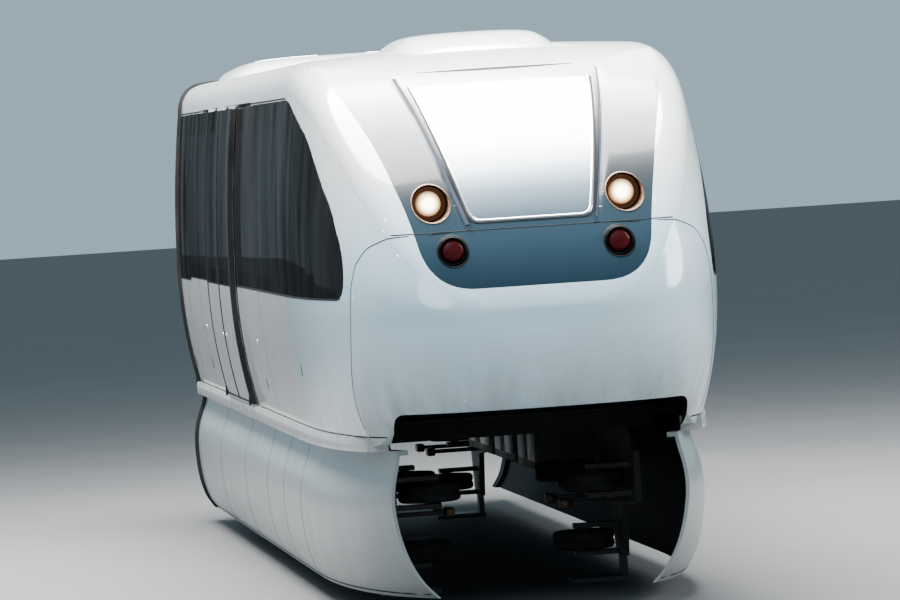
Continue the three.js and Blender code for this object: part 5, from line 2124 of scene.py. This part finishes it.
@dataclass
class RearEnd:
    """Gangway door, handles, coupler head and sockets on the rear bulkhead.

    Openings are rectangles of half width, foot and top; bars and plates stand proud of the face.
    """

    face: float = -5.2502
    door: Point = (0.52, 0.24, 2.12)
    glass: Point = (0.482, 1.022, 2.078)
    strip: float = 0.012
    hinge_z: Point = (0.36, 1.2, 1.98)
    rail_y: float = 0.66
    coupler: tuple[Point, Point] = ((-5.478, -0.15, 0.048), (-5.44, 0.15, 0.142))
    sockets: tuple[Pair, ...] = ((-0.78, 0.36), (0.78, 0.36), (-0.78, 0.52), (0.78, 0.52))

    def plate(self, shape: Shape, proud: float, across: Pair, up: Pair, sunk: float, soft: float) -> None:
        """Adds a box on the bulkhead."""
        shape.slab((self.face - proud, across[0], up[0]), (self.face + sunk, across[1], up[1]), soft)

    def bars(self, shape: Shape, rows: Iterable[tuple[Point, Point, float, int]]) -> None:
        """Adds round bars on the bulkhead."""
        for (out, y, z), (far, y1, z1), radius, sides in rows:
            shape.rod((self.face - out, y, z), (self.face - far, y1, z1), radius, sides)

    def door_frame(self) -> None:
        """Seals round the gangway door and its window."""
        frame, grow = Shape(), self.strip
        half, low, high = self.door
        corners = [(-half, low), (-half, high), (half, high), (half, low)]
        for (y0, z0), (y1, z1) in zip(corners, [*corners[1:], corners[0]]):
            across, up = (min(y0, y1) - grow, max(y0, y1) + grow), (min(z0, z1) - grow, max(z0, z1) + grow)
            self.plate(frame, 0.008, across, up, 0.002, 0.003)
        half, low, high = self.glass
        for y in (-half, half):
            self.plate(frame, 0.01, (y - grow, y + grow), (low - 0.002, high + 0.002), 0.002, 0.003)
        for z in (low, high):
            self.plate(frame, 0.01, (-half, half), (z - grow, z + grow), 0.002, 0.003)
        frame.piece("end_door_frame", BODY, RUBBER, Slot.RUBBER)

    def handles(self) -> None:
        """Door handle, hinges and the two hand rails."""
        metal = Shape()
        self.plate(metal, 0.02, (0.4, 0.48), (0.86, 0.94), 0.001, 0.004)
        self.bars(metal, [((0.012, 0.44, 0.9), (0.05, 0.44, 0.9), 0.012, 16)])
        self.plate(metal, 0.06, (0.3, 0.452), (0.888, 0.912), -0.044, 0.005)
        self.bars(metal, [((0.014, -0.545, z - 0.05), (0.014, -0.545, z + 0.05), 0.014, 16) for z in self.hinge_z])
        for y in (-self.rail_y, self.rail_y):
            self.bars(metal, [((0.055, y, 0.95), (0.055, y, 1.75), 0.015, 16),
                              *(((-0.002, y, z), (0.055, y, z), 0.012, 12) for z in (0.97, 1.73))])
        metal.piece("end_handles_and_hinges", BODY, BRIGHT, Slot.FRAME)

    def coupling(self) -> None:
        """Coupler head with its bolts, and the round sockets."""
        head = Shape().slab(*self.coupler, 0.008, 3)
        for y in (-0.11, 0.11):
            for z in (0.068, 0.122):
                head.rod((-5.4795, y, z), (-5.47, y, z), 0.011, HEX)
        for y, z in self.sockets:
            self.plate(head, 0.012, (y - 0.055, y + 0.055), (z - 0.055, z + 0.055), 0.001, 0.006)
            self.bars(head, [((0.04, y, z), (0.0, y, z), 0.036, 24), ((0.048, y, z), (0.038, y, z), 0.042, 24)])
        head.piece("coupler_head_and_sockets", BODY, STEEL, Slot.STEEL)

    def build(self) -> None:
        """Makes the rear end's details."""
        self.door_frame()
        self.handles()
        self.coupling()


@dataclass
class Underfloor:
    """Cross-members, equipment cases and pipes under the floor, inside the skirts."""

    top: float = 0.1295
    beam_x: tuple[float, ...] = (-2.02, -1.4, -0.78, -0.16, 0.46, 1.08, 1.7)
    case_x: tuple[Pair, ...] = ((-1.95, -0.55), (-0.4, 0.75), (0.9, 1.95))
    case_y: Pair = (0.5, 0.98)
    case_z: Pair = (-0.36, 0.058)
    pipe_y: Point = (-0.445, 0.445, 0.47)

    def build(self) -> None:
        """Makes what shows from below."""
        beams = Shape()
        for x in self.beam_x:
            beams.slab((x - 0.03, -1.055, 0.06), (x + 0.03, 1.055, self.top), 0.004)
        for y in (-0.4, 0.4):
            beams.slab((-2.12, y - 0.025, 0.075), (2.12, y + 0.025, self.top), 0.004)
        beams.piece("floor_cross_members", BODY, STEEL, Slot.FRAME)
        cases, lids = Shape(), Shape()
        inner = self.case_y[0]
        for side in SIDES.values():
            near, away = sorted(side * y for y in self.case_y)
            for rear, front in self.case_x:
                cases.side_slab(side, (rear, front), self.case_y, self.case_z, 0.018, 3)
                half = (front - rear) / 2
                for start in (rear + 0.1, rear + 0.1 + half):
                    end = start + half - 0.2
                    lids.side_slab(side, (start, end), (inner - 0.01, inner + 0.004), (-0.3, -0.02), 0.006)
                    lids.slab((start, near + 0.06, -0.368), (end, away - 0.06, -0.356), 0.004)
        cases.piece("underfloor_cases", BODY, CASE, Slot.DARK)
        lids.piece("underfloor_case_lids", BODY, ALUMINIUM, Slot.FRAME)
        pipes = Shape()
        for y in self.pipe_y:
            pipes.rod((-2.1, y, 0.05), (2.1, y, 0.05), 0.011, 10)
        pipes.piece("brake_pipes", BODY, BRIGHT, Slot.STEEL)


@dataclass
class PhotoCamera:
    """The photograph's viewpoint, leaning to the car and framing it closer.

    Angles are in degrees and the image's frame is 900 by 600 pixels.
    """

    place: Point = (42.747, -4.752, 1.931)
    yaw: float = 2.19
    pitch: float = -1.11
    roll: float = -3.82
    focal_px: float = 3286.0
    centre_px: Pair = (450.0, 300.0)
    aim_px: Pair = (705.0, 307.0)
    closer: float = 1.85
    width_px: float = 900.0
    sensor_mm: float = 36.0

    def build(self) -> None:
        """Makes the camera and sets it as the scene's."""
        yaw, pitch, roll = (math.radians(a) for a in (self.yaw, self.pitch, self.roll))
        ahead = Vector((-math.cos(pitch) * math.cos(yaw), math.cos(pitch) * math.sin(yaw), math.sin(pitch)))
        level = Vector((math.sin(yaw), math.cos(yaw), 0.0))
        up = level.cross(ahead)
        right = level * math.cos(roll) + up * math.sin(roll)
        top = up * math.cos(roll) - level * math.sin(roll)
        across = (self.aim_px[0] - self.centre_px[0]) / self.focal_px
        down = (self.aim_px[1] - self.centre_px[1]) / self.focal_px
        aim = (ahead + right * across - top * down).normalized()
        right = (right - aim * right.dot(aim)).normalized()
        top = right.cross(aim)
        data = bpy.data.cameras.new("photo_camera")
        data.sensor_width = self.sensor_mm
        data.lens = self.focal_px * self.closer * self.sensor_mm / self.width_px
        data.clip_end = 500.0
        camera = bpy.data.objects.new("photo_camera", data)
        turn = Matrix((right, top, -aim)).transposed().to_4x4()
        camera.matrix_world = Matrix.Translation(Vector(self.place)) @ turn
        bpy.context.scene.collection.objects.link(camera)
        bpy.context.scene.camera = camera


@dataclass
class Studio:
    """Grey floor, soft sky and large soft lights.

    The lights' rows give a name, place, aim, size, watts and colour.
    """

    floor_z: float
    reach: float = 150.0
    sky: Colour = (0.6, 0.85, 1.0)
    strength: float = 0.6
    lights: tuple[tuple[str, Point, Point, float, float, Colour], ...] = (
        ("overhead", (-0.5, -1.0, 12.0), (0.5, 0.0, 0.0), 12.0, 18000.0, (1.0, 0.99, 0.97)),
        ("ahead", (24.0, -9.0, 15.0), (5.0, 0.0, 1.2), 12.0, 2100.0, (0.78, 0.91, 1.0)),
        ("left_side", (9.0, 15.0, 8.0), (5.0, 0.0, 1.5), 8.0, 2600.0, (1.0, 0.99, 0.97)),
    )

    def build(self) -> None:
        """Makes the floor, the sky and the lights."""
        net = Net("studio_floor_paint")
        tone = net.mix(net.noise(0.35, 3.0), (0.1, 0.102, 0.105), (0.125, 0.125, 0.125))
        paint = net.shade(Base_Color=tone, Roughness=net.noise(3.0) * 0.1 + 0.75)
        bm = bmesh.new()
        bmesh.ops.create_grid(bm, x_segments=1, y_segments=1, size=self.reach)
        bmesh.ops.translate(bm, vec=(0, 0, self.floor_z), verts=bm.verts)
        floor = placed("studio_floor", bm)
        floor.data.materials.append(paint)
        floor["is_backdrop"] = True
        world = bpy.data.worlds.new("soft_sky")
        world.use_nodes = True
        backdrop = world.node_tree.nodes["Background"]
        backdrop.inputs["Color"].default_value = (*self.sky, 1.0)
        backdrop.inputs["Strength"].default_value = self.strength
        bpy.context.scene.world = world
        for name, place, aim, size, power, colour in self.lights:
            lamp = bpy.data.lights.new(name, "AREA")
            lamp.shape = "DISK"
            lamp.size = size
            lamp.energy = power
            lamp.color = colour
            holder = bpy.data.objects.new(name, lamp)
            toward = (Vector(aim) - Vector(place)).to_track_quat("-Z", "Y").to_matrix().to_4x4()
            holder.matrix_world = Matrix.Translation(Vector(place)) @ toward
            bpy.context.scene.collection.objects.link(holder)


CAD_FINISHES: dict[str, Finish] = {
    "underframe": BLACK, "roof": WHITE, "nose": NOSE, "mask_panel": MASK, "windshield": SCREEN,
    "side_wall": WHITE, "glass_band": BAND, "rear_bulkhead": LINING, "rear_window": END_GLASS,
    "end_band": RUBBER, "skirt": SKIRT_PAINT_DIRT_AND_SHADE, "headlamp": BRIGHT, "tail_lamp": TAIL, "door_leaf": WHITE,
    "door_glass": LEAF_GLASS, "seat_block": SEAT, "bogie_frame": STEEL, "load_tyre": TYRE, "load_wheel": STEEL,
    "guide_wheel": TYRE, "stabiliser_wheel": TYRE,
}


def finish_nodes(nodes: dict[str, bpy.types.Object]) -> None:
    """Gives every node that stays its finish.

    Args:
        nodes: the part's nodes by name.
    """
    for name, node in nodes.items():
        for start, finish in CAD_FINISHES.items():
            if name.startswith(start):
                node.data.materials.clear()
                node.data.materials.append(finish.material())


def main() -> None:
    """Builds the model around the part's frame."""
    logging.basicConfig(level=logging.INFO, format="%(message)s")
    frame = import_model()
    cad_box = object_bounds()
    nodes = frame["nodes"]
    PhotoCamera().build()
    Studio(cad_box[0].z).build()
    finish_nodes(nodes)
    panels = Bodywork(nodes, Skin(nodes.values())).build()
    body_panels = {name: made for name, made in panels.items() if not name.startswith("door_")}
    skin = Skin(body_panels.values())
    Skirts().build(Bellows.front - Bellows.length)
    Bellows().build()
    RoofFairings().build(skin)
    NoseTrim(skin).build()
    SideTrim(skin).build()
    DoorTrim(panels).build()
    for end, way in ENDS.items():
        RunningGear(end, way * BOGIE_X).build()
    Cabin().build()
    RearEnd().build()
    Underfloor().build()


if __name__ == "__main__":
    main()
